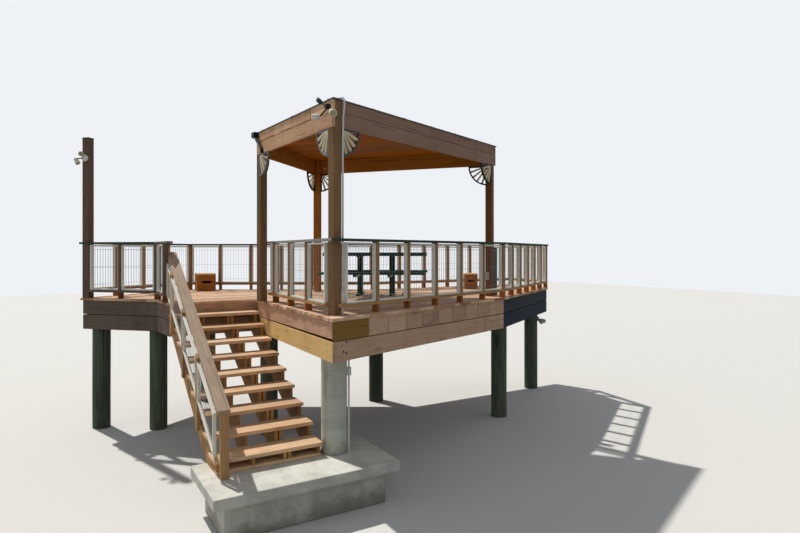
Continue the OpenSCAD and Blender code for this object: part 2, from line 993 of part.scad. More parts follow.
// A metal frame shaped as a parallelogram, between two posts of the stair railing
module raked_panel(y0, y1) {
    low = 115;
    high = handrail_h - handrail_drop - 40;
    fw = frame_w / cos(pitch_angle);
    translate([stair_left_x - baluster_t - fit, 0, 0])
        rotate([90, 0, 90])
            linear_extrude(baluster_t)
                difference() {
                    polygon([
                        [y0, nosing_line(y0) + low], [y1, nosing_line(y1) + low],
                        [y1, nosing_line(y1) + high], [y0, nosing_line(y0) + high],
                    ]);
                    polygon([
                        [y0 + frame_w, nosing_line(y0 + frame_w) + low + fw],
                        [y1 - frame_w, nosing_line(y1 - frame_w) + low + fw],
                        [y1 - frame_w, nosing_line(y1 - frame_w) + high - fw],
                        [y0 + frame_w, nosing_line(y0 + frame_w) + high - fw],
                    ]);
                }
}

module stair_panels() {
    edges = concat([newel_y], stair_post_ys, [stair_head_y + 60]);
    color(zinc)
        for (i = [0:len(edges) - 2]) {
            a = i == 0 ? newel_t / 2 : baluster_w / 2;
            raked_panel(edges[i] + a + fit, edges[i + 1] - baluster_w / 2 - fit);
        }
}

// Lamp post, furniture and fittings

module lamp_post() {
    color(wood_brown)
        square_post(lamp_post_at, lamp_post_w, lamp_post_turn, deck_top, deck_top + lamp_post_h);
}

table_at = near_corner + [2230, 3040];
table_turn = rear_heading - 4;
slab_t = 40;
bench_w = 260;
bench_out = table_w / 2 + 230;
leg_w = 95;
arm_w = 50;
foot_w = 60;
foot_t = 30;
// Place of a pedestal, as a share of the table's length from its middle
pedestal_share = 0.16;

module at_table() {
    translate([table_at.x, table_at.y, deck_top])
        rotate([0, 0, table_turn])
            children();
}

module picnic_table_top() {
    color(green)
        at_table() {
            translate([-table_l / 2, -table_w / 2, table_h - slab_t])
                cube([table_l, table_w, slab_t]);
            for (s = [-1, 1])
                translate([-table_l / 2, s * bench_out - bench_w / 2, bench_h - slab_t])
                    cube([table_l, bench_w, slab_t]);
        }
}

// Two pedestals. Each has a foot bar, an arm to both benches and a bar under the top.
module picnic_table_frame() {
    bar_h = 40;
    top_z = table_h - slab_t - bar_h;
    arm_z = bench_h - slab_t - bar_h;
    color(green)
        at_table()
            for (x = [-table_l * pedestal_share, table_l * pedestal_share]) {
                translate([x - leg_w / 2, -leg_w / 2, 0])
                    cube([leg_w, leg_w, top_z + bar_h]);
                translate([x - arm_w / 2, -table_w * 0.42, top_z])
                    cube([arm_w, table_w * 0.84, bar_h]);
                translate([x - arm_w / 2, -bench_out - bench_w * 0.4, arm_z])
                    cube([arm_w, 2 * bench_out + bench_w * 0.8, bar_h]);
                translate([x - foot_w / 2, -table_w / 2, 0])
                    cube([foot_w, table_w, foot_t]);
                for (s = [-1, 1])
                    pedestal_brace(x, s, top_z, table_w * 0.34);
            }
}

// A sloping strut from a pedestal up to the bar under the top
module pedestal_brace(x, s, top_z, out) {
    translate([x - 12, 0, 0])
        rotate([90, 0, 90])
            linear_extrude(24)
                polygon([
                    [s * (leg_w / 2 - 2), top_z - out], [s * (leg_w / 2 - 2), top_z - out + 50],
                    [s * (out - 50), top_z + 2], [s * out, top_z + 2],
                ]);
}

// A box seat that is open below, with a finger slot in its front
module box_seat(at, turn, share_w, share_h) {
    w = box_w * share_w;
    h = box_h * share_h;
    translate([at.x, at.y, deck_top])
        rotate([0, 0, turn])
            difference() {
                translate([-w / 2, -w / 2, 0])
                    cube([w, w, h]);
                translate([-w / 2 + 20, -w / 2 + 20, -1])
                    cube([w - 40, w - 40, h - 19]);
                translate([-w / 4, -w, h * 0.45])
                    cube([w / 2, w, 45]);
            }
}

// The seats stand in from the rear side, two against it and one further forward.
// Each has its place along that side and in from it, two shares of the size and a turn.
rear_seats = [[3256, 343, 1, 1, 28], [670, 253, 0.82, 0.8, 0]];
right_seat_at = near_corner + [4690, 3510];

module box_seats() {
    back = side_dir(deck_ring, 4);
    color(wood_orange) {
        for (q = rear_seats)
            box_seat(
                p_back + back * q[0] + left_of(back) * q[1], rear_heading - 180 + q[4], q[2], q[3]
            );
        box_seat(right_seat_at, rear_heading - 180, 0.78, 0.95);
    }
}

// A lamp with a round base plate that faces along +x. Each head has its place, its tilt
// from upright and its turn.
module spot_light(heads, base_d, base_h, head_d) {
    rotate([0, 90, 0])
        cylinder(d = base_d, h = base_h);
    for (h = heads) {
        pipe([[20, h[0].y * 0.15, h[0].z * 0.15], h[0]], 22);
        translate(h[0])
            rotate([0, h[1], h[2]]) {
                cylinder(d = head_d * 0.75, h = 40);
                translate([0, 0, 40])
                    cylinder(d1 = head_d * 0.86, d2 = head_d, h = 55);
            }
    }
}

// The floodlight stands on the left upper board, near the canopy's near corner
flood_side = side_dir(canopy_ring, 3);
flood_out = heading_of(-left_of(flood_side));
flood_at = canopy_near - flood_side * 100;

module corner_floodlight() {
    color(white)
        translate([flood_at.x, flood_at.y, canopy_top - 78])
            rotate([0, 0, flood_out])
                translate([fit, 0, 0]) {
                    spot_light(
                        [[[62, -122, -98], 104, -31], [[38, 125, -88], 115, 75]], 64, 58, 92
                    );
                    // The sensor stands up on its own arm
                    pipe([[40, 0, 0], [60, -99, 56]], 16);
                    translate([58, -97, 54])
                        rotate([0, 46, -32])
                            translate([-16, -26, 0])
                                cube([32, 52, 78]);
                }
}

// The lamp box is on the left board at its far end. A flexible pipe slants down from it
// to a plug under the boards.
module corner_lamp() {
    reach_out = roof_lip + fit;
    color(black)
        translate([canopy_left.x, canopy_left.y, canopy_top])
            rotate([0, 0, flood_out]) {
                translate([reach_out, -15, -74])
                    cube([70, 108, 84]);
                translate([fit, -5, -70])
                    cube([reach_out + 3, 88, 64]);
                pipe([[34, 74, -60], [34, 110, -95], [26, 232, -236], [22, 256, -262]], 26);
                translate([21 + fit, 260, -upper_h - lower_h - 6])
                    cylinder(d = 42, h = 78);
            }
}

spot_base_z = deck_top + 2290;

module twin_spotlights() {
    color(white) {
        translate([lamp_post_at.x, lamp_post_at.y, spot_base_z])
            rotate([0, 0, lamp_post_turn - 90])
                translate([lamp_post_w / 2 + fit, 0, 0])
                    spot_light(
                        [[[45, -45, 68], 100, 42], [[60, -137, -15], 148, 90]], 112, 30, 80
                    );
        translate([piles[1].x, piles[1].y, girder_under - 160])
            rotate([0, 0, -60])
                translate([pile_d / 2 + fit, 0, 0])
                    spot_light(
                        [[[62, -75, -25], 118, -28], [[62, 75, -25], 118, 28]], 96, 30, 84
                    );
    }
}

// The conduit bends over the roof edge, runs down beside the near post, and on below the
// deck. Each place has its distance out from the front boards and its height over their top.
conduit_bend = [
    [-120, conduit_d / 2 + roof_t + fit], [-25, 39], [10, 35], [28, 19],
    [37, -40], [24, -150], [14.5, -200],
];

module conduit() {
    o = -left_of(dir(canopy_front_heading));
    d = conduit_d;
    low = conduit_at;
    face = low - o * ((low - canopy_near) * o);
    under = near_corner + [374, 335];
    color(white) {
        pipe(concat(
            [for (q = conduit_bend) [face.x + o.x * q[0], face.y + o.y * q[0], canopy_top + q[1]]],
            [
                [face.x + o.x * 14.5, face.y + o.y * 14.5, canopy_under - 30],
                [low.x, low.y, canopy_under - 120],
                [low.x, low.y, deck_top + fit],
            ]
        ), d);
        translate([under.x, under.y, landing_top])
            cylinder(d = d, h = girder_under - landing_top, $fn = 24);
    }
}

// A plate with round corners
module round_plate(w, h, r) {
    square([w - 2 * r, h], center = true);
    square([w, h - 2 * r], center = true);
    for (x = [-1, 1], y = [-1, 1])
        translate([x * (w / 2 - r), y * (h / 2 - r)])
            circle(r = r, $fn = 32);
}

// The junction box is on the left face of the canopy's right post, near its left edge
module junction_box() {
    p = post_centre(1);
    color(zinc)
        translate([p.x, p.y, deck_top + 342])
            rotate([0, 0, post_turns[1] + 90])
                translate([post_w / 2 + fit, -post_w / 2 + 34, 0])
                    rotate([90, 0, 90])
                        linear_extrude(44)
                            round_plate(82, 132, 14);
}

module cabinet() {
    f = dir(canopy_front_heading);
    p = post_centre(1) + f * 175 + left_of(f) * 30;
    color(green)
        square_post(p, 110, canopy_front_heading, deck_top, deck_top + 830);
}

landing();
concrete_column();
timber_piles();
girders();
joists();
deck_floor();
fascia_front();
fascia_end();
fascia_rear();
fascia_left();
fascia_stair_side();
canopy_posts();
canopy_upper_boards();
canopy_lower_boards();
canopy_ceiling();
canopy_rafters();
roof_sheet();
wheel_bracket_rims();
wheel_bracket_spokes();
rail_frame_front();
rail_frame_end();
rail_frame_rear();
rail_frame_left();
rail_frame_stair_side();
panels_front();
panels_end();
panels_rear();
panels_left();
panels_stair_side();
top_rails();
stringers();
treads();
handrail();
stair_posts();
stair_panels();
lamp_post();
picnic_table_top();
picnic_table_frame();
box_seats();
corner_floodlight();
corner_lamp();
twin_spotlights();
conduit();
junction_box();
cabinet();
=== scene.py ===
# %% [markdown]
# # A raised waterside deck with a canopy
#
# The packed model gives every post, board and rail at its real size. This lesson dresses it:
# the floor and the ceiling are sawn into boards, each timber gets rounded edges and its own
# grain, the railings get their wires, the lamps their cones and lenses, and each finish is a
# small node network.
# The frame comes first, because every later piece takes its place from it.

# %% Load the frame
import math
import random
import bpy
import bmesh
from mathutils import Matrix, Vector, noise


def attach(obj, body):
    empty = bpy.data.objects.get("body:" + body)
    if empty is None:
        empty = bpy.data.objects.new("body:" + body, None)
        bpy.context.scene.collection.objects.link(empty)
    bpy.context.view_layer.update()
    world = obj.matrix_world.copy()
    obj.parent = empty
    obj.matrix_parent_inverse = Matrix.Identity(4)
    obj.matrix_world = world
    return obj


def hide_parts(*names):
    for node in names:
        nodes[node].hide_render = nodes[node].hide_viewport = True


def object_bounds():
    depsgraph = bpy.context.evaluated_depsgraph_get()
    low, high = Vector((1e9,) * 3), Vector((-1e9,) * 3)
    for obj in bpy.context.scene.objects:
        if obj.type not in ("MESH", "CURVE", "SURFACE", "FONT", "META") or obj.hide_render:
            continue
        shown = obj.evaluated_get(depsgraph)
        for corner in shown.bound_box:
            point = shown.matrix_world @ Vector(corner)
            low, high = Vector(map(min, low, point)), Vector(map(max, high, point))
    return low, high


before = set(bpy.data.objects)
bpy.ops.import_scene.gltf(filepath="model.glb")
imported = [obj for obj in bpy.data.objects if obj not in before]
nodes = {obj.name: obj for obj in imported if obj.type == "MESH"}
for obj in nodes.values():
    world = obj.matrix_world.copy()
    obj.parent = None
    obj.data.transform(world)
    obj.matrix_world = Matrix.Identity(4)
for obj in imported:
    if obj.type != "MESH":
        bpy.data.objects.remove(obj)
cad_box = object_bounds()
ROOT = "root"
X, Y, UP = Vector((1, 0, 0)), Vector((0, 1, 0)), Vector((0, 0, 1))
scene = bpy.context.scene


def shown(values, places=3):
    """Numbers, rounded for a printed line."""
    return tuple(round(v, places) for v in values)


print("nodes:", len(nodes), "box:", shown((*cad_box[0], *cad_box[1])))

# %% [markdown]
# ## Camera
#
# The picture was taken from the foot of the stair with the camera held level, so every post
# stands upright in it. A level camera with a very small shift keeps those lines parallel,
# which tilting the camera would not.

# %% Camera
CAMERA_AT = Vector((-2.402, -6.278, 2.909))
CAMERA_LOOKS = Vector((0.515, 0.857, 0))
FOCAL_PIXELS = 580
PICTURE_W = 800
HORIZON_ABOVE_MIDDLE = 14.5

camera_data = bpy.data.cameras.new("camera")
camera = bpy.data.objects.new("camera", camera_data)
scene.collection.objects.link(camera)
camera_data.sensor_width = 36
camera_data.lens = camera_data.sensor_width * FOCAL_PIXELS / PICTURE_W
camera_data.shift_y = -HORIZON_ABOVE_MIDDLE / PICTURE_W
camera_data.clip_end = 200
camera.location = CAMERA_AT
camera.rotation_mode = "QUATERNION"
camera.rotation_quaternion = CAMERA_LOOKS.to_track_quat("-Z", "Y")
scene.camera = camera
scene.view_settings.view_transform = "Standard"
print("lens", round(camera_data.lens, 1), "mm")

# %% [markdown]
# ## Light and floor
#
# In the picture the sun stands high behind the deck and only grazes its left faces: the
# overhang of the floor boards shades most of the board under it, and the column has one thin
# bright edge. One sun gives that, and a broad weak one from the left stands for the water.
# Together with the pale world they add up to about one on a level face, so that a colour
# renders about as it is written.
# The world and the floor need a few shader nodes, as does each finish later. A class of short
# words keeps such trees readable: a word adds a node, fills its inputs and hands on its output.
# The floor looks pale to the camera and darker to the light that bounces, because a white
# ground would light the boards from below, where the picture is dark.

# %% Suns
SUNS = {
    "sun": (3.15, 1.0, (1.0, 0.955, 0.88), (-0.165, 0.543, 0.823)),
    "fill": (0.16, 35, (0.94, 0.97, 1.0), (-0.95, 0.08, 0.3)),
}

for name, (strength, spread, colour, comes_from) in SUNS.items():
    sun_data = bpy.data.lights.new(name, "SUN")
    sun_data.energy = strength
    sun_data.angle = math.radians(spread)
    sun_data.color = colour
    sun = bpy.data.objects.new(name, sun_data)
    sun.rotation_mode = "QUATERNION"
    sun.rotation_quaternion = (-Vector(comes_from)).to_track_quat("-Z", "Y")
    scene.collection.objects.link(sun)
print("suns:", list(SUNS))

# %% Short words for node trees


class Wires:
    """Short words for adding nodes to one tree."""

    def __init__(self, tree):
        self.tree = tree

    def fill(self, made, inputs):
        """Sets each input of a node to a value, or links it to the output of another node."""
        for key, value in inputs.items():
            if isinstance(value, bpy.types.NodeSocket):
                self.tree.links.new(value, made.inputs[key])
            else:
                made.inputs[key].default_value = value
        return made

    def node(self, kind, inputs=None, **settings):
        made = self.tree.nodes.new(kind if kind.startswith("Node") else "ShaderNode" + kind)
        for key, value in settings.items():
            setattr(made, key, value)
        return self.fill(made, inputs or {})

    def math(self, what, a, b=0.0, clamp=False):
        return self.node("Math", {0: a, 1: b}, operation=what, use_clamp=clamp).outputs[0]

    def times(self, a, b, clamp=False):
        return self.math("MULTIPLY", a, b, clamp)

    def swing(self, value, amount):
        """How far a value is from one half, times an amount."""
        return self.times(self.math("SUBTRACT", value, 0.5), amount)

    def scaled(self, vector, factor):
        return self.node("VectorMath", {0: vector, "Scale": factor}, operation="SCALE").outputs[0]

    def stretch(self, vector, amounts):
        return self.node("Mapping", {"Vector": vector, "Scale": amounts}).outputs[0]

    def noise(self, vector, scale, detail=3.0, rough=0.5, bend=0.0):
        """A noise texture. A scale for each of the three directions stretches it."""
        if isinstance(scale, tuple):
            vector, scale = self.stretch(vector, scale), 1.0
        return self.node("TexNoise", {
            "Vector": vector, "Scale": scale, "Detail": detail, "Roughness": rough, "Distortion": bend,
        }).outputs["Fac"]

    def cells(self, vector, scale):
        return self.node("TexVoronoi", {"Vector": vector, "Scale": scale}).outputs["Distance"]

    def step(self, value, low, high, out_low=0.0, out_high=1.0):
        return self.node("MapRange", {
            "Value": value, "From Min": low, "From Max": high, "To Min": out_low, "To Max": out_high,
        }, interpolation_type="SMOOTHSTEP").outputs["Result"]

    def blend(self, mask, a, b, how="MIX"):
        return self.node("Mix", {0: mask, 6: a, 7: b}, data_type="RGBA", blend_type=how).outputs[2]

    def mark(self, mask, under, share, colour):
        """Where a mask is on, goes a share of the way from the colour under it to another."""
        return self.blend(mask, under, self.blend(share, under, colour))

    def place(self):
        """The place in the row frame, in metres."""
        return self.node("TexCoord").outputs["Object"]

    def stored(self, label, output="Fac"):
        return self.node("Attribute", attribute_name=label).outputs[output]

    def upward(self, vector):
        return self.node("SeparateXYZ", {0: vector}).outputs["Z"]

    def facing_up(self, low, high):
        return self.step(self.upward(self.node("NewGeometry").outputs["Normal"]), low, high)


print("short words:", sum(not word.startswith("_") for word in vars(Wires)))

# %% World
AMBIENT = 0.29
SEEN_SKY = 0.92
SKY = (0.93, 0.96, 1.0, 1)


def seen_mask(w):
    """1 for rays that show the background, straight or in a reflection, and 0 for bounced light."""
    rays = w.node("LightPath").outputs
    mask = rays["Is Camera Ray"]
    for label in ("Is Glossy Ray", "Is Transmission Ray"):
        mask = w.math("MAXIMUM", mask, rays[label])
    return mask


world = bpy.data.worlds.new("pale_world")
scene.world = world
world.use_nodes = True
world.node_tree.nodes.clear()
w = Wires(world.node_tree)
glow = w.node("Mix", {"Factor": seen_mask(w), "A": AMBIENT, "B": SEEN_SKY}).outputs["Result"]
background = w.node("Background", {"Color": SKY, "Strength": glow})
w.node("OutputWorld", {"Surface": background.outputs[0]})
print("world: felt", AMBIENT, "seen", SEEN_SKY)

# %% Floor
CORNERS = ((-1, -1), (1, -1), (1, 1), (-1, 1))
FLOOR_HALF = 40
FLOOR_FELT = (0.30, 0.30, 0.28, 1)
FLOOR_SEEN = (0.72, 0.72, 0.71, 1)

floor_mesh = bpy.data.meshes.new("floor")
floor_mesh.from_pydata([(x * FLOOR_HALF, y * FLOOR_HALF, 0) for x, y in CORNERS], [], [(0, 1, 2, 3)])
floor = bpy.data.objects.new("floor", floor_mesh)
scene.collection.objects.link(floor)
floor_finish = bpy.data.materials.new("pale_floor")
floor_finish.use_nodes = True
w = Wires(floor_finish.node_tree)
w.fill(w.tree.nodes["Principled BSDF"], {
    "Base Color": w.blend(seen_mask(w), FLOOR_FELT, FLOOR_SEEN), "Roughness": 0.9,
})
floor_mesh.materials.append(floor_finish)
print("floor is", 2 * FLOOR_HALF, "m wide")

# %% [markdown]
# ## Stock: how the pieces are gathered
#
# Timber looks real when the grain follows each board and no two boards have the same tone.
# A picture wrapped on the mesh could do that, but a solid texture is simpler and has no seams:
# every corner stores its own place along, across and through its board, with a random shift.
# The finish then reads that place as if it cut the board from its own tree.

# %% Stock


class Stock:
    """Gathers closed solids into one piece, with the grain, tone and tint of each."""

    def __init__(self, seed):
        self.verts = []
        self.faces = []
        self.grain = []
        self.tone = []
        self.tint = []
        self.draw = random.Random(seed)

    def add(self, verts, faces, along, tone=None, tint=0.0):
        along = along.normalized()
        side = along.cross(UP if abs(along.z) < 0.9 else X).normalized()
        top = side.cross(along)
        shift = Vector([self.draw.uniform(0, 50) for axis in range(3)])
        own = self.draw.random() if tone is None else tone
        first = len(self.verts)
        self.verts.extend(verts)
        self.faces.extend([tuple(first + i for i in face) for face in faces])
        self.grain.extend([Vector((v.dot(along), v.dot(side), v.dot(top))) + shift for v in verts])
        self.tone.extend([own] * len(verts))
        self.tint.extend([tint] * len(verts))
        return self

    def bar(self, start, end, width, depth, up=UP):
        """A bar of square section: width across, depth along up."""
        d = (end - start).normalized()
        side = d.cross(up).normalized() * (width / 2)
        rise = side.cross(d).normalized() * (depth / 2)
        verts = [p + a * side + b * rise for p in (start, end) for a, b in CORNERS]
        faces = [(0, 1, 2, 3), (7, 6, 5, 4), (0, 4, 5, 1), (1, 5, 6, 2), (2, 6, 7, 3), (3, 7, 4, 0)]
        return self.add(verts, faces, d)

    def tube(self, verts, sides, along):
        """A closed solid from rings of corners, each with the same number of sides."""
        last = len(verts) - sides
        faces = [tuple(range(sides - 1, -1, -1)), tuple(range(last, len(verts)))]
        faces += [(low + k, low + (k + 1) % sides, low + sides + (k + 1) % sides, low + sides + k)
                  for low in range(0, last, sides) for k in range(sides)]
        return self.add(verts, faces, along)

    def sweep(self, points, radii, sides=8):
        """A round solid along points, with a radius at each: a wire, a cone or a bent pipe."""
        ways = [(b - a).normalized() for a, b in zip(points, points[1:])]
        first = ways[0].orthogonal().normalized()
        verts = []
        for i, p in enumerate(points):
            way = (ways[max(i - 1, 0)] + ways[min(i, len(ways) - 1)]).normalized()
            first = (first - way * first.dot(way)).normalized()
            second = way.cross(first)
            for k in range(sides):
                turn = 2 * math.pi * k / sides
                verts.append(p + radii[i] * (math.cos(turn) * first + math.sin(turn) * second))
        return self.tube(verts, sides, points[-1] - points[0])

    def piece(self, name, finish, slot, edge=0.0, smooth=40):
        """The finished object. edge is the width of its rounded edges, in metres."""
        mesh = bpy.data.meshes.new(name)
        mesh.from_pydata([tuple(v) for v in self.verts], [], self.faces)
        for label, kind, key, values in (
            ("grain", "FLOAT_VECTOR", "vector", [x for v in self.grain for x in v]),
            ("tone", "FLOAT", "value", self.tone),
            ("tint", "FLOAT", "value", self.tint),
        ):
            mesh.attributes.new(label, kind, "POINT").data.foreach_set(key, values)
        obj = bpy.data.objects.new(name, mesh)
        scene.collection.objects.link(obj)
        fix = bmesh.new()
        fix.from_mesh(mesh)
        bmesh.ops.recalc_face_normals(fix, faces=fix.faces)
        fix.to_mesh(mesh)
        fix.free()
        mesh.polygons.foreach_set("use_smooth", [True] * len(mesh.polygons))
        mesh.set_sharp_from_angle(angle=math.radians(smooth))
        mesh.materials.append(finish)
        if edge > 0:
            rounding = obj.modifiers.new("rounded_edges", "BEVEL")
            rounding.width = edge
            rounding.segments = 2
            rounding.limit_method = "ANGLE"
            rounding.angle_limit = math.radians(smooth)
            rounding.harden_normals = True
        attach(obj, ROOT)
        return obj


print("stock is ready")

# %% [markdown]
# ## Reading and sawing solids
#
# The boards are cut from the node's own solid, and not built beside it. A mitred corner or a
# slanted edge then stays as it is in the model, and a board can't leave its outline.

# %% Read the solids of a node
JOIN_WITHIN = 0.00005
FLAT_WITHIN = math.radians(0.5)


def middle(solid):
    return sum(solid[0], Vector()) / len(solid[0])


def islands(verts, faces):
    """Splits corners and faces into connected solids, in an order that never changes."""
    leader = list(range(len(verts)))

    def lead(i):
        while leader[i] != i:
            i = leader[i]
        return i

    for face in faces:
        for i in face[1:]:
            leader[lead(i)] = lead(face[0])
    groups = {}
    for face in faces:
        groups.setdefault(lead(face[0]), []).append(face)
    found = []
    for group in groups.values():
        used = sorted({i for face in group for i in face})
        place = {i: k for k, i in enumerate(used)}
        found.append(([verts[i] for i in used], sorted(tuple(place[i] for i in face) for face in group)))
    return sorted(found, key=lambda s: shown(middle(s), 4))


def taken_from(bm):
    """The corners and faces of a working mesh, which is then freed."""
    bm.verts.index_update()
    solid = [v.co.copy() for v in bm.verts], [tuple(v.index for v in f.verts) for f in bm.faces]
    bm.free()
    return solid


def solids_of(node):
    """The separate solids of a node, each as its corners and its flat faces."""
    bm = bmesh.new()
    bm.from_mesh(nodes[node].data)
    bmesh.ops.remove_doubles(bm, verts=bm.verts, dist=JOIN_WITHIN)
    bmesh.ops.dissolve_limit(bm, angle_limit=FLAT_WITHIN, verts=bm.verts, edges=bm.edges)
    return islands(*taken_from(bm))


def span(solid, way):
    """The lowest and the highest place of a solid along a direction."""
    places = [v.dot(way) for v in solid[0]]
    return min(places), max(places)


def long_way(solid, level=False):
    """The direction of a solid's longest straight edge, as seen in plan where level is set."""
    verts, faces = solid
    edges = [(verts[a] - verts[b]) for f in faces for a, b in zip(f, f[1:] + f[:1])]
    if level:
        edges = [Vector((e.x, e.y, 0)) for e in edges]
    best = max(edges, key=lambda e: round(e.length, 4))
    best = best if best.x + best.y * 0.01 + best.z * 0.0001 > 0 else -best
    return best.normalized()


front_solids = solids_of("fascia_front")
print("fascia boards at the front:", len(front_solids))

# %% Saw a solid


def cut_off(solid, point, keep):
    """The part of a closed solid that lies on the keep side of a plane, closed again."""
    bm = bmesh.new()
    made = [bm.verts.new(v) for v in solid[0]]
    for face in solid[1]:
        bm.faces.new([made[i] for i in face])
    whole = bm.verts[:] + bm.edges[:] + bm.faces[:]
    cut = bmesh.ops.bisect_plane(bm, geom=whole, plane_co=point, plane_no=keep, clear_inner=True)
    rim = [e for e in cut["geom_cut"] if isinstance(e, bmesh.types.BMEdge)]
    if rim:
        bmesh.ops.holes_fill(bm, edges=rim, sides=0)
    return taken_from(bm)


def saw(solid, way, places, gap=0.0):
    """Saws a solid across at places along way, with a thin gap at each cut."""
    parts = []
    edges = [None] + sorted(places) + [None]
    for low, high in zip(edges, edges[1:]):
        part = solid
        if low is not None:
            part = cut_off(part, way * (low + gap / 2), way)
        if high is not None and part[1]:
            part = cut_off(part, way * (high - gap / 2), -way)
        if part[1]:
            parts.append(part)
    return parts


def widths_from(low, high, draw, least, most):
    """Places between low and high, a board's width apart."""
    places = []
    at = low + draw.uniform(least, most)
    while at < high - least * 0.6:
        places.append(at)
        at += draw.uniform(least, most)
    return places


front_way = long_way(front_solids[0])
print("a fascia board in three:", len(saw(front_solids[0], front_way, [1.5, 2.5], 0.01)))

# %% [markdown]
# ## Finish groups
#
# Most of this structure is weathered timber, so grain is one shared node group. It reads the
# stored place along each board: long thin streaks for the sawn surface, broad bands for the
# growth rings, fine dark checks where the wood has split, and a few knots.
# A group only puts out colours, masks and values. The shader itself stays in each material.

# %% Helpers for node groups
OUTPUTS = {"Color": "NodeSocketColor", "Roughness": "NodeSocketFloat", "Height": "NodeSocketFloat"}


def linear(c):
    return c / 255 / 12.92 if c <= 10 else ((c / 255 + 0.055) / 1.055) ** 2.4


def srgb(r, g, b):
    """A screen colour from 0 to 255, as the linear values that a shader takes."""
    return linear(r), linear(g), linear(b), 1


def new_group(name, inputs):
    """A node group that puts out a colour, a roughness and a height."""
    group = bpy.data.node_groups.new(name, "ShaderNodeTree")
    for label, default in inputs.items():
        kind = "NodeSocketFloat" if isinstance(default, float) else "NodeSocketColor"
        group.interface.new_socket(label, in_out="INPUT", socket_type=kind).default_value = default
    for label, kind in OUTPUTS.items():
        group.interface.new_socket(label, in_out="OUTPUT", socket_type=kind)
    wires = Wires(group)
    return wires, wires.node("NodeGroupInput").outputs


def put_out(wires, colour, roughness, height):
    wires.node("NodeGroupOutput", dict(zip(OUTPUTS, (colour, roughness, height))))
    print("group", wires.tree.name, "has", len(wires.tree.nodes), "nodes")
    return wires.tree


# %% Timber group: grain
w, given = new_group("sawn_timber", {
    "Dark": srgb(90, 70, 50), "Light": srgb(190, 160, 130), "Tint": srgb(255, 255, 255),
    "Grain scale": 1.0, "Streaks": 0.6, "Checks": 0.5, "Board tones": 0.35, "Stains": 0.3, "Bleach": 0.2,
})
grain_place = w.scaled(w.stored("grain", "Vector"), given["Grain scale"])
fine = w.noise(grain_place, (3.0, 70.0, 70.0), 5.0, 0.62, 0.6)
bands = w.noise(grain_place, (0.7, 9.0, 9.0), 3.0, 0.5, 1.4)
rings = w.math("PINGPONG", w.times(bands, 6.0), 0.5)
wide = w.noise(grain_place, (0.9, 2.2, 2.2), 2.0)
splits = w.step(w.noise(grain_place, (1.3, 42.0, 42.0), 2.0, 0.4, 0.2), 0.66, 0.72)
knots = w.step(w.cells(w.stretch(grain_place, (1.4, 5.0, 5.0)), 1.0), 0.16, 0.06)
streaky = w.math("ADD", w.times(fine, 0.6), w.times(rings, 0.8))
mixed = w.math("ADD", w.swing(streaky, given["Streaks"]), 0.5)
own_tone = w.swing(w.stored("tone"), given["Board tones"])
patchy = w.math("ADD", w.math("ADD", mixed, own_tone), w.swing(wide, 0.7), clamp=True)
wood = w.blend(patchy, given["Dark"], given["Light"])
tinted = w.blend(w.stored("tint"), wood, given["Tint"], "MULTIPLY")
print("grain uses", len(w.tree.nodes), "nodes")

# %% Timber group: weather
dark_marks = w.times(w.math("MAXIMUM", splits, w.times(knots, 0.75)), given["Checks"], clamp=True)
marked = w.mark(dark_marks, tinted, 0.82, (0.02, 0.014, 0.01, 1))
drips = w.noise(w.place(), (5.0, 5.0, 0.9), 4.0, 0.6)
blots = w.noise(w.place(), 1.7, 4.0, 0.6)
wet = w.math("MAXIMUM", w.step(drips, 0.52, 0.72), w.step(blots, 0.56, 0.74))
stained = w.mark(w.times(wet, given["Stains"], clamp=True), marked, 0.6, (0.03, 0.025, 0.022, 1))
sunny = w.times(w.facing_up(0.5, 0.95), w.step(blots, 0.3, 0.7))
bleached = w.blend(w.times(sunny, given["Bleach"], clamp=True), stained, srgb(205, 190, 170))
timber_group = put_out(
    w, bleached, w.step(patchy, 0.0, 1.0, 0.62, 0.86),
    w.math("SUBTRACT", w.times(streaky, 0.6), w.times(dark_marks, 1.4)),
)

# %% [markdown]
# Painted and galvanised metal and plastic share a second group. The coat is chipped where a
# fine noise is high, and dust lies on the faces that look up. Cast concrete needs a third:
# its marks are pores, pale lime runs and the lines of the formwork, and its foot is damp.

# %% Coat group
w, given = new_group("weathered_coat", {
    "Base": srgb(90, 90, 90), "Worn": srgb(150, 135, 120), "Wear": 0.3, "Dust": 0.2, "Scale": 1.0,
})
coat_place = w.scaled(w.place(), given["Scale"])
chips = w.step(w.noise(coat_place, 26.0, 5.0, 0.65, 0.4), 0.58, 0.66)
cloud = w.noise(coat_place, 5.0, 4.0, 0.6)
worn_mask = w.times(chips, given["Wear"], clamp=True)
coat = w.mark(w.times(cloud, 0.35), given["Base"], 0.5, (0, 0, 0, 1))
worn = w.blend(worn_mask, coat, given["Worn"])
dust_mask = w.times(w.times(w.facing_up(0.3, 0.95), cloud), given["Dust"], clamp=True)
coat_group = put_out(
    w, w.blend(dust_mask, worn, srgb(170, 160, 145)), w.step(worn_mask, 0.0, 1.0, 0.38, 0.8),
    w.math("SUBTRACT", w.times(w.noise(coat_place, 420.0, 2.0), 0.15), worn_mask),
)

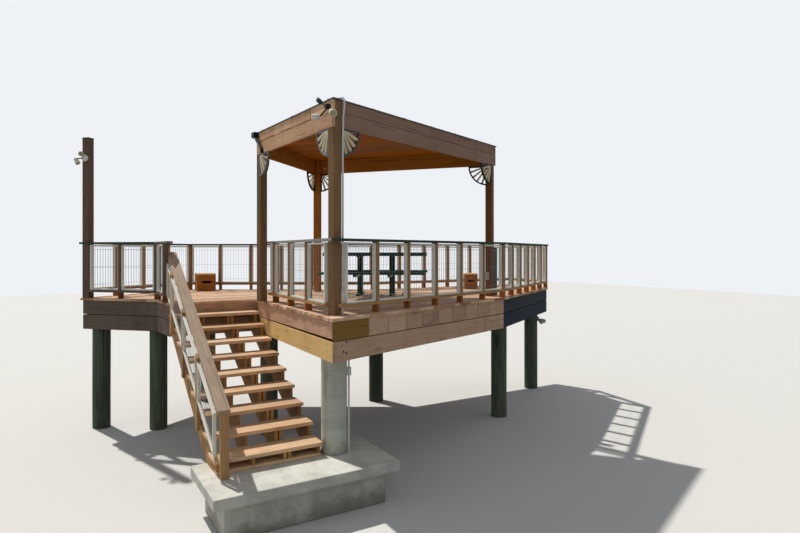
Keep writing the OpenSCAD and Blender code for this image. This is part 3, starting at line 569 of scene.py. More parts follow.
# %% Concrete group
w, given = new_group("cast_concrete", {
    "Base": srgb(200, 200, 190), "Damp": srgb(110, 112, 96), "Damp height": 0.5, "Runs": 0.5,
})
cast_place = w.place()
level = w.upward(cast_place)
pores = w.step(w.cells(cast_place, 60.0), 0.16, 0.05)
grey = w.noise(cast_place, 3.0, 6.0, 0.65)
runs = w.step(w.noise(cast_place, (9.0, 9.0, 0.6), 4.0, 0.6), 0.5, 0.75)
form_line = w.step(w.math("PINGPONG", level, 0.15), 0.003, 0.0)
wet_edge = w.math("ADD", given["Damp height"], w.swing(grey, 0.5))
damp = w.step(w.math("SUBTRACT", level, wet_edge), 0.12, -0.08)
aged = w.mark(w.times(w.step(grey, 0.38, 0.62), 0.6), given["Base"], 0.4, (0.07, 0.08, 0.06, 1))
run_down = w.mark(w.times(runs, given["Runs"]), aged, 0.55, srgb(140, 128, 84))
dark_foot = w.blend(w.times(damp, 0.6), run_down, given["Damp"])
pits = w.times(w.math("MAXIMUM", pores, w.times(form_line, 0.5)), 0.5)
relief = w.math("SUBTRACT", w.times(w.noise(cast_place, 90.0, 3.0), 0.3), w.math("MAXIMUM", pores, form_line))
concrete_group = put_out(
    w, w.blend(pits, dark_foot, (0.06, 0.06, 0.05, 1)), w.step(damp, 0.0, 1.0, 0.9, 0.6), relief
)

# %% [markdown]
# ## Finishes
#
# Each finish is a material of its own around a shared group, with the colours of that piece.
# The bump is about a millimetre deep, because weathered boards are rough to the hand and not
# to the eye. What a finish doesn't name, it takes from the group's own values.

# %% One material around a group


def group_material(name, group, values, bump, specular, metallic=0.0):
    made = bpy.data.materials.new(name)
    made.use_nodes = True
    wires = Wires(made.node_tree)
    effect = wires.node("Group", values, node_tree=group).outputs
    relief = wires.node("Bump", {"Strength": 0.7, "Distance": bump, "Height": effect["Height"]})
    wires.fill(wires.tree.nodes["Principled BSDF"], {
        "Specular IOR Level": specular, "Metallic": metallic, "Base Color": effect["Color"],
        "Roughness": effect["Roughness"], "Normal": relief.outputs["Normal"],
    })
    return made


def timber(name, dark, light, tint=(255, 255, 255), bump=0.0012, specular=0.18, **values):
    words = {"Dark": srgb(*dark), "Light": srgb(*light), "Tint": srgb(*tint)}
    words.update({key.replace("_", " ").capitalize(): value for key, value in values.items()})
    return group_material(name, timber_group, words, bump, specular)


def coated(name, base, worn, wear, dust, scale=1.0, metallic=0.0, specular=0.5):
    words = {"Base": srgb(*base), "Worn": srgb(*worn), "Wear": wear, "Dust": dust, "Scale": scale}
    return group_material(name, coat_group, words, 0.0004, specular, metallic)


def cast(name, base, damp, damp_height, runs, bump):
    words = {"Base": srgb(*base), "Damp": srgb(*damp), "Damp height": damp_height, "Runs": runs}
    return group_material(name, concrete_group, words, bump, 0.25)


print("finishes are made by timber(), coated() and cast()")

# %% Timber finishes
deck_finish = timber("deck_boards", (156, 108, 84), (248, 210, 174), streaks=0.7, board_tones=1.05,
                     stains=0.45, bleach=0.3)
front_finish = timber("front_fascia", (176, 140, 116), (232, 197, 170), tint=(184, 172, 104),
                      board_tones=0.45, stains=0.35)
stair_fascia_finish = timber("stair_side_fascia", (184, 142, 116), (232, 192, 160), board_tones=0.3,
                             stains=0.35)
pine_finish = timber("new_pine_board", (214, 170, 104), (252, 218, 152), board_tones=0.3, stains=0.25)
charcoal_finish = timber("charcoal_boards", (26, 31, 40), (56, 64, 78), board_tones=0.4, bleach=0.1,
                         specular=0.05)
lamp_post_finish = timber("lamp_post", (84, 64, 54), (136, 108, 92), board_tones=0.2, stains=0.35)
umber_finish = timber("umber_boards", (84, 74, 66), (136, 120, 108), board_tones=0.4, stains=0.4)
# The Tint is for the posts' feet: partly their own orange, partly painted sunlight under the bottom rail.
post_finish = timber("railing_posts", (132, 98, 66), (206, 164, 116), tint=(248, 204, 140),
                     board_tones=0.5)
# A darker grey-brown copy of the post timber for the railing beside the lamp post: painted shade. Its Tint
# for the feet is like the one above.
painted_shade_post_finish = timber("lamp_side_posts_painted_shade", (84, 70, 62), (132, 112, 98), tint=(255, 190, 140),
                            board_tones=0.4, stains=0.4)
canopy_post_finish = timber("canopy_posts", (106, 82, 58), (158, 126, 92), tint=(240, 204, 176),
                            board_tones=0.4, stains=0.25)
canopy_finish = timber("canopy_front", (126, 100, 86), (172, 142, 124), board_tones=0.3, stains=0.35)
# A lighter copy of the canopy timber for the left boards: painted sunlight on that side.
painted_sun_left_finish = timber("canopy_left", (186, 142, 108), (248, 206, 166))
new_finish = timber("canopy_rear", (136, 80, 20), (196, 130, 48), board_tones=0.4, stains=0.2, specular=0.1)
ceiling_finish = timber("ceiling_boards", (116, 64, 4), (184, 112, 14), board_tones=0.6, stains=0.15,
                        bleach=0.0, checks=0.3, specular=0.08)
pile_finish = timber("pile_timber", (50, 60, 52), (116, 126, 108), checks=1.0, stains=0.7, bump=0.004,
                     grain_scale=0.7)
frame_finish = timber("frame_timber", (84, 60, 44), (140, 104, 76), stains=0.5)
# Its Tint is painted shade: rail_look darkens the rails that stand in shade to near black-green.
rail_finish = timber("grey_rail_painted_shade", (126, 124, 114), (176, 174, 164), tint=(100, 124, 114), board_tones=0.3,
                     checks=0.9)
stair_finish = timber("stair_boards", (172, 118, 76), (252, 218, 178), board_tones=0.4, stains=0.35,
                      bleach=0.4)
stringer_finish = timber("stringer_boards", (144, 100, 60), (210, 168, 108), board_tones=0.4, stains=0.4)
handrail_finish = timber("handrail_board", (150, 126, 108), (206, 184, 162), checks=0.45, bleach=0.3)
cream_finish = timber("cream_spokes", (212, 204, 176), (250, 244, 222), streaks=0.3, checks=0.4)
box_finish = timber("box_seat_boards", (136, 76, 26), (192, 126, 60), tint=(255, 240, 220), board_tones=0.5)
print("timber finishes are ready")

# %% Metal, plastic and concrete finishes
# Its near-white base is partly the frames' own pale zinc and partly a painted highlight for their sunlit
# edges.
zinc_finish = coated("galvanised_frames_painted_highlight", (246, 246, 236), (170, 174, 166), 0.3, 0.1)
wire_finish = coated("galvanised_wire", (128, 138, 136), (90, 94, 92), 0.3, 0.1, metallic=0.3)
black_finish = coated("black_iron", (15, 16, 19), (70, 48, 34), 0.25, 0.12, specular=0.15)
navy_finish = coated("navy_enamel", (10, 28, 54), (52, 58, 66), 0.15, 0.05, specular=0.1)
bracket_finish = coated("bracket_iron", (42, 46, 58), (96, 84, 76), 0.35, 0.12, specular=0.3)
worn_bracket_finish = coated("worn_bracket_iron", (112, 110, 112), (140, 124, 110), 0.5, 0.2, specular=0.3)
green_finish = coated("green_coating", (26, 66, 54), (70, 74, 60), 0.25, 0.3, specular=0.2)
roof_finish = coated("roof_sheet", (58, 58, 62), (96, 88, 80), 0.4, 0.5, scale=0.4)
white_finish = coated("white_enamel", (242, 242, 236), (160, 156, 144), 0.2, 0.3)
steel_blue_finish = coated("blue_grey_enamel", (176, 186, 196), (110, 110, 104), 0.25, 0.3)
olive_finish = coated("olive_rims", (120, 122, 70), (90, 90, 60), 0.3, 0.1)
conduit_finish = coated("grey_conduit", (228, 232, 232), (150, 150, 146), 0.2, 0.3)
screw_finish = coated("dark_screws", (60, 50, 44), (110, 84, 60), 0.6, 0.1, metallic=0.6)
lens_finish = coated("lamp_lens", (168, 164, 116), (150, 146, 110), 0.1, 0.1, specular=0.6)
amber_finish = coated("amber_lens", (224, 128, 40), (200, 110, 40), 0.1, 0.1, specular=0.8)
column_finish = cast("column_concrete", (204, 208, 198), (128, 128, 104), 0.62, 0.8, 0.0015)
landing_finish = cast("landing_concrete", (222, 222, 214), (116, 108, 90), 0.1, 0.3, 0.002)
print("materials:", len(bpy.data.materials))

# %% [markdown]
# ## Dressing the frame's own timbers
#
# Posts, rails, beams and boards already have their real shape, so they are only dressed: each
# solid of a node is copied, its sharp edges are rounded as a plane leaves them, and its grain
# follows its longest edge. One function does it, so that all those edges are alike. Where a
# node needs sawing first, a small function of its own says how.

# %% Dress a node


def dress(node, finish, slot, edge=0.004, seed=1, smooth=40, shape=None):
    """Replaces a node by a piece. shape parts a solid into (solid, way of the grain, look).

    A look may name a finish of its own, or how to choose one. Those parts become a second piece.
    """
    stocks = {finish.name: (finish, Stock(seed))}
    for solid in solids_of(node):
        for part, way, look in (shape(solid) if shape else [(solid, long_way(solid), {})]):
            for one in islands(*part):
                own = look.get("finish", finish)
                own = own(one) if callable(own) else own
                stock = stocks.setdefault(own.name, (own, Stock(seed + 100)))[1]
                stock.add(*one, way, look.get("tone"), look.get("tint", 0.0))
    made = [stock.piece(node + "_" + name, own, slot, edge, smooth)
            for name, (own, stock) in stocks.items() if stock.verts]
    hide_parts(node)
    return made


PLAIN_NODES = (
    ("girders", frame_finish, "frame_timber", 0.005, 5),
    ("joists", frame_finish, "frame_timber", 0.004, 6),
    ("fascia_end", charcoal_finish, "dark_timber", 0.004, 8),
    ("fascia_rear", umber_finish, "dark_timber", 0.004, 9),
    ("fascia_left", umber_finish, "dark_timber", 0.004, 10),
    ("canopy_rafters", ceiling_finish, "ceiling_timber", 0.003, 15),
    ("wheel_bracket_spokes", cream_finish, "cream_timber", 0.003, 19),
    ("stringers", stringer_finish, "stair_timber", 0.003, 23),
    ("treads", stair_finish, "stair_timber", 0.007, 24),
    ("handrail", handrail_finish, "rail_timber", 0.005, 25),
    ("stair_posts", post_finish, "post_timber", 0.004, 26),
    ("conduit", conduit_finish, "conduit_plastic", 0.0, 35, 60),
)
for row in PLAIN_NODES:
    dress(*row)
print("plain nodes dressed:", len(PLAIN_NODES))

# %% Posts and brackets of the canopy
FAR = 3.0
REAR_POST_Y = 3.5
LEFT_RIMS_X, LEFT_RIM_REACH = 0.62, 0.2


def post_look(solid):
    """The right post is redder and darker than the near ones, and the rear post is of new timber."""
    if middle(solid).y > REAR_POST_Y:
        return [(solid, UP, {"finish": new_finish, "tone": 0.4})]
    return [(solid, UP, {"tint": 1.0, "tone": 0.2} if middle(solid).x > FAR else {})]


def rim_look(solid):
    """The brackets below the left boards have lost their paint, and the far ones are still black."""
    low, high = span(solid, X)
    if high < LEFT_RIMS_X and high - low < LEFT_RIM_REACH:
        return [(solid, long_way(solid), {"finish": worn_bracket_finish})]
    far = middle(solid).x > FAR or middle(solid).y > FAR
    return [(solid, long_way(solid), {"finish": black_finish} if far else {})]


dress("canopy_posts", canopy_post_finish, "post_timber", 0.005, 12, shape=post_look)
dress("wheel_bracket_rims", bracket_finish, "black_iron", 0.002, 18, shape=rim_look)
print("rims in another finish:", sum("finish" in rim_look(s)[0][2] for s in solids_of("wheel_bracket_rims")))

# %% [markdown]
# ## Floor boards
#
# The deck is one solid in the model. Here it is ripped along X into boards of uneven width,
# and each is sawn across above a joist, with the joints staggered. The ends over the stair
# side are left a little ragged, because they throw the uneven shadow on the fascia below.
# Two screws hold each board on each joist. A screw is only set where the board is under it.

# %% Deck boards
JOIST_PITCH, JOISTS = 0.41, 22
STAIR_HEAD_Y, END_X = 2.85, 3.9
BOARD_WIDTHS = (0.095, 0.138)
RAGGED_STAIR_SIDE, RAGGED_FRONT = 0.009, 0.004

deck_solid = solids_of("deck_floor")[0]
deck_top = span(deck_solid, UP)[1]
JOIST_FIRST = span(deck_solid, X)[0] + 0.120
near_corner = min(deck_solid[0], key=lambda v: v.y)
stair_corner = max((v for v in deck_solid[0] if abs(v.y - STAIR_HEAD_Y) < 0.01), key=lambda v: v.x)
front_corner = min((v for v in deck_solid[0] if v.x > END_X), key=lambda v: v.y)
stair_in = (stair_corner - near_corner).cross(UP).to_2d().to_3d().normalized()
front_in = UP.cross(front_corner - near_corner).to_2d().to_3d().normalized()
print("deck corners:", [shown(p) for p in (near_corner, stair_corner, front_corner)])

draw = random.Random(3)
deck_stock = Stock(3)
boards = []
rips = widths_from(*span(deck_solid, Y), draw, *BOARD_WIDTHS)
for row, board in enumerate(saw(deck_solid, Y, rips, 0.008)):
    low, high = span(board, Y)
    if high < stair_corner.y:
        board = cut_off(board, near_corner + stair_in * draw.uniform(0.0, RAGGED_STAIR_SIDE), stair_in)
    if low < front_corner.y:
        board = cut_off(board, near_corner + front_in * draw.uniform(0.0, RAGGED_FRONT), front_in)
    joints = [JOIST_FIRST + JOIST_PITCH * k for k in range(1, JOISTS) if (k + 3 * row) % 8 == 0]
    boards += saw(board, X, joints, 0.004)
for board in boards:
    deck_stock.add(*board, X)
deck = deck_stock.piece("deck_boards", deck_finish, "deck_timber", 0.004)
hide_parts("deck_floor")
print("deck boards:", len(boards))

# %% Deck screws
SCREW_IN = 0.024
SCREW_CLEAR = 0.012
SCREW_WANDER = 0.008
DECK_SCREW_SIDES = 6


def covers(board, x, y, margin):
    """Whether a board's plan covers a round spot."""
    verts, faces = board
    for dx, dy in ((-margin, 0), (margin, 0), (0, -margin), (0, margin)):
        inside = False
        for face in faces:
            if any(verts[i].z < deck_top - 0.001 for i in face):
                continue
            for a, b in zip(face, face[1:] + face[:1]):
                p, q = verts[a], verts[b]
                if (p.y > y + dy) != (q.y > y + dy):
                    if x + dx < p.x + (y + dy - p.y) * (q.x - p.x) / (q.y - p.y):
                        inside = not inside
        if not inside:
            return False
    return True


screw_stock = Stock(4)
for board in boards:
    low, high = span(board, Y)
    for k in range(JOISTS):
        for y in (low + SCREW_IN, high - SCREW_IN):
            x = JOIST_FIRST + JOIST_PITCH * k + draw.uniform(-SCREW_WANDER, SCREW_WANDER)
            at = Vector((x, y, deck_top - 0.0022))
            if covers(board, at.x, at.y, SCREW_CLEAR):
                screw_stock.sweep([at, at + UP * 0.0026], [0.0045, 0.0042], DECK_SCREW_SIDES)
screw_stock.piece("deck_screws", screw_finish, "deck_timber")
print("deck screws:", len(screw_stock.verts) // (2 * DECK_SCREW_SIDES))

# %% [markdown]
# ## Fascia and canopy boards
#
# In the picture the front's upper board is a row of short blocks, and the canopy's left upper
# board is in four lengths. Their joints are at measured places from the near corner.
# The yellow board below the stair side has a slanted scarf joint near its far end. The board
# over it stops short of the corner, and the seam between them gapes there.

# %% Fascia boards
FRONT_JOINTS = (0.65, 1.018, 1.382, 1.743, 2.106, 2.461, 2.813, 3.159, 3.521)
LOWER_JOINT = 2.28
FASCIA_SPLIT = 1.888
SEAM_GAPE, SHORT_BY = 0.024, 0.02
SCARF_AT, SCARF_WAY = Vector((0, 1.74, 1.765)), Vector((0, 0.794, -0.608)).normalized()


def front_boards(solid):
    way = long_way(solid)
    start = near_corner.dot(way)
    if middle(solid).z < FASCIA_SPLIT:
        return [(part, way, {"tone": 0.55}) for part in saw(solid, way, [start + LOWER_JOINT], 0.003)]
    blocks = saw(solid, way, [start + s for s in FRONT_JOINTS], 0.009)
    return [(part, way, {"tint": 1.0 if i == 0 else 0.0}) for i, part in enumerate(blocks)]


def stair_side_boards(solid):
    way = long_way(solid)
    low, high = span(solid, Y)
    if low > 1:
        return [(solid, way, {"tone": 0.3})]
    if middle(solid).z > FASCIA_SPLIT:
        short = cut_off(solid, Y * (low + SHORT_BY), Y)
        slant = Vector((0, SEAM_GAPE / (high - low), 1)).normalized()
        foot = span(solid, UP)[0] + SEAM_GAPE
        return [(cut_off(short, Vector((0, low, foot)), slant), way, {"tone": 0.4})]
    halves = saw(solid, SCARF_WAY, [SCARF_AT.dot(SCARF_WAY)], 0.004)
    return [(part, way, {"finish": pine_finish, "tone": tone}) for part, tone in zip(halves, (0.7, 0.5))]


dress("fascia_front", front_finish, "tan_timber", 0.004, 7, shape=front_boards)
dress("fascia_stair_side", stair_fascia_finish, "tan_timber", 0.004, 11, shape=stair_side_boards)
print("front blocks:", len(FRONT_JOINTS) + 1)

# %% Canopy boards
LEFT_JOINTS = (0.617, 1.218, 1.813)
FRONT_JOINT = 2.015
CANOPY_SEAM = 4.574
CANOPY_NEAR = Vector((0.440, -0.030, 0))
LEFT_SIDE_X, FRONT_SIDE_Y = 0.6, 0.1
WARP = 0.015


def warped(part, way):
    """Planes the underside of a board at a slant, so that its seam gapes at its near end."""
    low, high = span(part, way)
    if high > CANOPY_NEAR.dot(way) - 0.1:
        return part
    slant = (UP - way * WARP / (high - low)).normalized()
    return cut_off(part, way * low + UP * (span(part, UP)[0] + 0.001), slant)


def canopy_lengths(solid):
    """Saws the left and the front boards, and gives the left ones a lighter copy of the timber as painted
    sunlight. The rear ones kept the orange of new timber.
    """
    way = long_way(solid)
    start = CANOPY_NEAR.dot(way)
    if span(solid, X)[1] < LEFT_SIDE_X:
        if middle(solid).z < CANOPY_SEAM:
            return [(solid, way, {"finish": painted_sun_left_finish})]
        lengths = saw(solid, way, [start - s for s in LEFT_JOINTS], 0.011)
        return [(warped(part, way), way, {"finish": painted_sun_left_finish}) for part in lengths]
    if span(solid, Y)[0] < FRONT_SIDE_Y:
        return [(part, way, {}) for part in saw(solid, way, [start + FRONT_JOINT], 0.003)]
    return [(solid, way, {"finish": new_finish})]


dress("canopy_upper_boards", canopy_finish, "canopy_timber", 0.003, 13, shape=canopy_lengths)
dress("canopy_lower_boards", canopy_finish, "canopy_timber", 0.003, 14, shape=canopy_lengths)
print("left upper board in", len(LEFT_JOINTS) + 1, "lengths")

# %% Ceiling boards
CEILING_WIDTHS = (0.13, 0.132)
CEILING_LENGTHS = (0.8, 1.5)

ring = [v for s in solids_of("canopy_lower_boards") for v in s[0]]
right, back = max(ring, key=lambda v: v.x), max(ring, key=lambda v: v.y)
BACK_WAY = Vector((back.x - right.x, back.y - right.y, 0)).normalized()
ACROSS = UP.cross(BACK_WAY)


def ceiling_boards(solid):
    pick = random.Random(16)
    found = []
    for strip in saw(solid, ACROSS, widths_from(*span(solid, ACROSS), pick, *CEILING_WIDTHS), 0.004):
        low, high = span(strip, BACK_WAY)
        joints = widths_from(low - pick.uniform(0, 0.9), high, pick, *CEILING_LENGTHS)
        found += [(part, BACK_WAY, {}) for part in saw(strip, BACK_WAY, joints, 0.002)]
    return found


dress("canopy_ceiling", ceiling_finish, "ceiling_timber", 0.003, 16, shape=ceiling_boards)
print("ceiling boards run", shown(BACK_WAY, 2))

# %% Roof sheet
LAP_PITCH = 0.62
LAP_WIDTH, LAP_RISE = 0.018, 0.006


def roof_sheets(solid):
    """The sheet itself, and a low rib on each lap."""
    found = [(solid, BACK_WAY, {})]
    low, high = span(solid, ACROSS)
    for k in range(1, int((high - low) / LAP_PITCH) + 1):
        start = low + LAP_PITCH * k
        rib = cut_off(cut_off(solid, ACROSS * start, ACROSS), ACROSS * (start + LAP_WIDTH), -ACROSS)
        found.append((([v + UP * LAP_RISE for v in rib[0]], rib[1]), BACK_WAY, {}))
    return found


dress("roof_sheet", roof_finish, "roof_metal", 0.002, 17, shape=roof_sheets)
print("roof laps every", LAP_PITCH, "m")

# %% [markdown]
# ## Railings
#
# A railing side is one solid, but its grain has to turn: upright in the posts and level in the bottom rail.
# It is cut at the rail's underside and top for that, which also lets the posts' feet take an orange tint,
# partly their own colour and partly painted sunlight under the bottom rail. The wires are set into each metal
# frame from its own inner corners, so the raked frames of the stair get slanting wires by the same function.

# %% Railing frames
SIDES = ("front", "end", "rear", "left", "stair_side")
FOOT_TOP = deck_top + 0.098
RAIL_TOP = FOOT_TOP + 0.038
LAMP_SIDE_X, LAMP_SIDE_END = -0.85, 4.62


def railing_finish(part):
    """Beside the lamp post the railing takes a darker grey-brown copy of the timber, as painted shade.
    Elsewhere it is tan.
    """
    c = middle(part)
    return painted_shade_post_finish if c.x < LAMP_SIDE_X and c.y < LAMP_SIDE_END else post_finish


def railing_parts(solid):
    feet, rail, posts = saw(solid, UP, [FOOT_TOP, RAIL_TOP])
    chosen = {"finish": railing_finish}
    rails = [(part, long_way(part, level=True), chosen) for part in saw(rail, Y, [LAMP_SIDE_END])]
    # The feet's tint: partly their own orange, partly painted sunlight under the bottom rail.
    return [(feet, UP, {"tint": 1.0, **chosen}), (posts, UP, chosen), *rails]


for i, side in enumerate(SIDES):
    dress("rail_frame_" + side, post_finish, "post_timber", 0.003, 40 + i, shape=railing_parts)
print("railing posts stand on feet", round(FOOT_TOP - deck_top, 3), "m high")

# %% Wires in the metal frames
WIRE_PITCH = 0.052
WIRE_R = 0.0017
WIRE_END = 0.005
LEVEL_WIRES = (0.08, 0.5, 0.92)


def lerp(a, b, t):
    return a + (b - a) * t


def add_wires(stock, solid, heights):
    """Upright wires inside one metal frame, and level ones behind them."""
    way = long_way(solid, level=True)
    low, high = span(solid, way)
    inner = [v for v in solid[0] if low + WIRE_END < v.dot(way) < high - WIRE_END]
    near = [v for v in inner if v.dot(way) < (low + high) / 2]
    far = [v for v in inner if v.dot(way) > (low + high) / 2]
    base = middle(solid)
    base -= UP * base.z + way * base.dot(way)
    start, end = (sum(v.dot(way) for v in group) / len(group) for group in (near, far))
    feet = [min(v.z for v in group) for group in (near, far)]
    heads = [max(v.z for v in group) for group in (near, far)]
    count = max(2, round((end - start) / WIRE_PITCH))
    for k in range(1, count):
        foot = base + way * lerp(start, end, k / count)
        z0, z1 = lerp(*feet, k / count), lerp(*heads, k / count)
        stock.sweep([foot + UP * (z0 - WIRE_END), foot + UP * (z1 + WIRE_END)], [WIRE_R, WIRE_R], 5)
    back = way.cross(UP) * (2 * WIRE_R)
    for share in heights:
        ends = [base + way * s + UP * lerp(z0, z1, share) + back for s, z0, z1 in
                zip((start - WIRE_END, end + WIRE_END), feet, heads)]
        stock.sweep(ends, [WIRE_R, WIRE_R], 5)


for node in [*("panels_" + side for side in SIDES), "stair_panels"]:
    stock = Stock(21)
    for solid in solids_of(node):
        add_wires(stock, solid, LEVEL_WIRES)
    stock.piece(node + "_wires", wire_finish, "zinc")
    dress(node, zinc_finish, "zinc", 0.002, 22)
print("wires every", WIRE_PITCH, "m")

# %% Top rails
SUNNY_X, SUNNY_Y, PALEST_X = 0.6, 3.4, -0.5


def rail_look(solid):
    """The rails in the sun over the stair keep the timber's grey. Those left of the stair take half of the
    near black-green tint and the others all of it, as painted shade.
    """
    c = middle(solid)
    sunny = c.y < SUNNY_Y and c.x < SUNNY_X
    return [(solid, long_way(solid), {"tint": (0.0 if c.x > PALEST_X else 0.5) if sunny else 1.0})]


dress("top_rails", rail_finish, "rail_timber", 0.004, 22, shape=rail_look)
print("top rails are dressed")

# %% [markdown]
# ## Piles, column and landing
#
# Old piles are neither round nor smooth: the sapwood splits from top to bottom. Each pile is
# turned anew with its radius eaten inwards by a noise that is stretched upright. It never
# grows past the model's radius, so that it still fits under its girder.

# %% Piles
PILE_SIDES, PILE_RINGS = 56, 18
SPLIT_DEPTH, DEEPEST = 0.07, 0.12

pile_stock = Stock(4)
for solid in solids_of("timber_piles"):
    c = middle(solid)
    low, high = span(solid, UP)
    radius = max((v - c).to_2d().length for v in solid[0])
    verts = []
    for i in range(PILE_RINGS + 1):
        z = lerp(low, high, i / PILE_RINGS)
        for k in range(PILE_SIDES):
            turn = 2 * math.pi * k / PILE_SIDES
            out = Vector((math.cos(turn), math.sin(turn), 0))
            split = noise.noise(out * 9 + Vector((c.x, c.y, z * 0.9)))
            swell = noise.noise(out * 1.3 + Vector((c.x * 3, c.y, z * 0.6)))
            eaten = max(0.0, 0.02 + 0.03 * swell) + (SPLIT_DEPTH if split > 0.34 else 0.0)
            verts.append(Vector((c.x, c.y, z)) + out * radius * (1 - min(eaten, DEEPEST)))
    pile_stock.tube(verts, PILE_SIDES, UP)
piles = pile_stock.piece("piles_split", pile_finish, "pile_timber", 0.0, 50)
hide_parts("timber_piles")
print("piles:", len(pile_stock.verts) // (PILE_SIDES * (PILE_RINGS + 1)))

# %% Concrete
dress("landing", landing_finish, "concrete", 0.014, 2)
dress("concrete_column", column_finish, "concrete", 0.008, 3)
print("concrete is dressed")

# %% [markdown]
# ## Lamps
#
# The model has each lamp as one plain solid for collision. A lamp is read by its parts, so
# here it is turned again around the same axes: a finned back, a cone, an olive rim, a lens and
# a ribbed black arm on a round plate. The sweep with a radius at each point makes them all.

# %% Lamp heads
LAMP_BACK = [(0, 0.50), (2, 0.74)] + [
    (d + 10 * k, r) for k in range(4) for d, r in ((4, 0.76), (9, 0.76), (10, 0.6), (13, 0.6))
]
LAMP_BACK = [q for q in LAMP_BACK if q[0] < 41] + [(41, 0.84), (42, 0.86), (88, 0.985)]
LAMP_RIM = [(88, 0.96), (88.5, 1.0), (94.5, 1.0), (95, 0.95)]
LAMP_LENS = [(94.5, 0.86), (95.8, 0.84), (96.4, 0.5)]
ARM_RIBS = 15
lamp_parts = {key: Stock(50 + i) for i, key in enumerate(("white", "blue", "rim", "lens", "arm"))}


def mm(x, y, z):
    return Vector((x, y, z)) / 1000


def placed(at, turn):
    """The directions of a lamp of its own, at a place and turned in plan."""
    return Matrix.Translation(at) @ Matrix.Rotation(math.radians(turn), 4, "Z")


def level_way(degrees):
    return Vector((math.cos(math.radians(degrees)), math.sin(math.radians(degrees)), 0))


def add_lamp(at, turn, heads, base_d, base_h, head_d, plate, body, rim):
    """A round plate with one ribbed arm and one head for each (place, tilt, turn), in mm."""
    own = placed(at, turn)
    lamp_parts[plate].sweep(
        [own @ mm(d, 0, 0) for d in (0, base_h * 0.7, base_h)],
        [base_d / 2000, base_d / 2000, base_d / 2300], 28,
    )
    for place, tilt, swing in heads:
        tilt = math.radians(tilt)
        axis = own.to_3x3() @ (level_way(swing) * math.sin(tilt) + UP * math.cos(tilt))
        start = own @ mm(min(20, base_h - 4), place[1] * 0.15, place[2] * 0.15)
        neck = own @ mm(*place)
        lamp_parts["arm"].sweep(
            [start.lerp(neck, k / ARM_RIBS) for k in range(ARM_RIBS + 1)],
            [0.011 if k % 3 else 0.0085 for k in range(ARM_RIBS + 1)], 12,
        )
        for part, outline in ((body, LAMP_BACK), (rim, LAMP_RIM), ("lens", LAMP_LENS)):
            lamp_parts[part].sweep(
                [neck + axis * d / 1000 for d, r in outline], [r * head_d / 2000 for d, r in outline], 28
            )


LEFT_OUT, POST_OUT, PILE_OUT = -176.6, 225.6, -60
lamp_at = middle(solids_of("lamp_post")[0])
flood_at = Vector((0.4341, 0.0698, 4.638))
post_face = Vector((lamp_at.x, lamp_at.y, deck_top + 2.290)) + level_way(POST_OUT) * 0.0603
pile_face = Vector((6.425, 2.955, 1.488)) + level_way(PILE_OUT) * 0.1403
add_lamp(flood_at, LEFT_OUT, [((62, -122, -98), 104, -31), ((38, 125, -88), 115, 75)],
         64, 58, 92, "arm", "white", "white")
add_lamp(post_face, POST_OUT, [((45, -45, 68), 100, 42), ((60, -137, -15), 148, 90)],
         112, 30, 80, "white", "white", "white")
add_lamp(pile_face, PILE_OUT, [((62, -75, -25), 118, -28), ((62, 75, -25), 118, 28)],
         96, 30, 84, "blue", "blue", "rim")
print("parts of the lamps:", list(lamp_parts))

# %% Sensor and lamp box
SENSOR_W, SENSOR_T = 0.052, 0.032
SENSOR_PARTS = (
    ("floodlight_sensor", 56, green_finish, 0, 0.062),
    ("floodlight_sensor_cap", 64, cream_finish, 0.0625, 0.078),
)
PLUG = ((0, 0.017), (0.004, 0.021), (0.05, 0.021), (0.052, 0.018), (0.078, 0.018))
BOX_BARS = ((0.3, -5, -70, 15, 88, 64), (12.3, -15, -74, 54, 108, 84), (68, -12, -71, 14, 102, 78))
FLEX_TOP, FLEX_FOOT = 0.027, 0.016
FLEX_POINTS = ((34, 58, -66), (34, 92, -112), (30, 164, -176), (26, 228, -240), (22, 256, -266))

own = placed(flood_at, LEFT_OUT)
sensor_turn = Matrix.Rotation(math.radians(-32), 3, "Z") @ Matrix.Rotation(math.radians(46), 3, "Y")
sensor_way = own.to_3x3() @ sensor_turn @ UP
sensor_foot = own @ mm(58, -97, 54)
lamp_parts["arm"].sweep([own @ mm(40, 0, 0), own @ mm(60, -99, 56)], [0.008, 0.008], 10)
for name, seed, finish, low, high in SENSOR_PARTS:
    ends = [sensor_foot + sensor_way * d for d in (low, high)]
    Stock(seed).bar(*ends, SENSOR_W, SENSOR_T, own.to_3x3() @ X).piece(name, finish, "white_plastic", 0.005)

box_own = placed(Vector((0.29173, 2.4656, 4.716)), LEFT_OUT)
lamp_box = Stock(57)
for x, y, z, depth, width, height in BOX_BARS:
    ends = [box_own @ mm(x + d, y + width / 2, z + height / 2) for d in (0, depth)]
    lamp_box.bar(*ends, width / 1000, height / 1000)
flex = [box_own @ mm(*p) for p in FLEX_POINTS]
steps = [a.lerp(b, k / 12) for a, b in zip(flex, flex[1:]) for k in range(12)] + [flex[-1]]
ribs = [lerp(FLEX_TOP, FLEX_FOOT, k / len(steps)) * (1 if k % 2 else 0.86) for k in range(len(steps))]
Stock(66).sweep(steps, ribs, 16).piece("corner_lamp_flex", worn_bracket_finish, "black_iron")
plug = box_own @ mm(21.3, 260, -330)
lamp_box.sweep([plug + UP * z for z, r in PLUG], [r for z, r in PLUG], 20)
lamp_box_piece = lamp_box.piece("corner_lamp_box", navy_finish, "black_iron", 0.003)
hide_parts("corner_lamp")
print("rings of the sleeve under the lamp box:", len(steps))

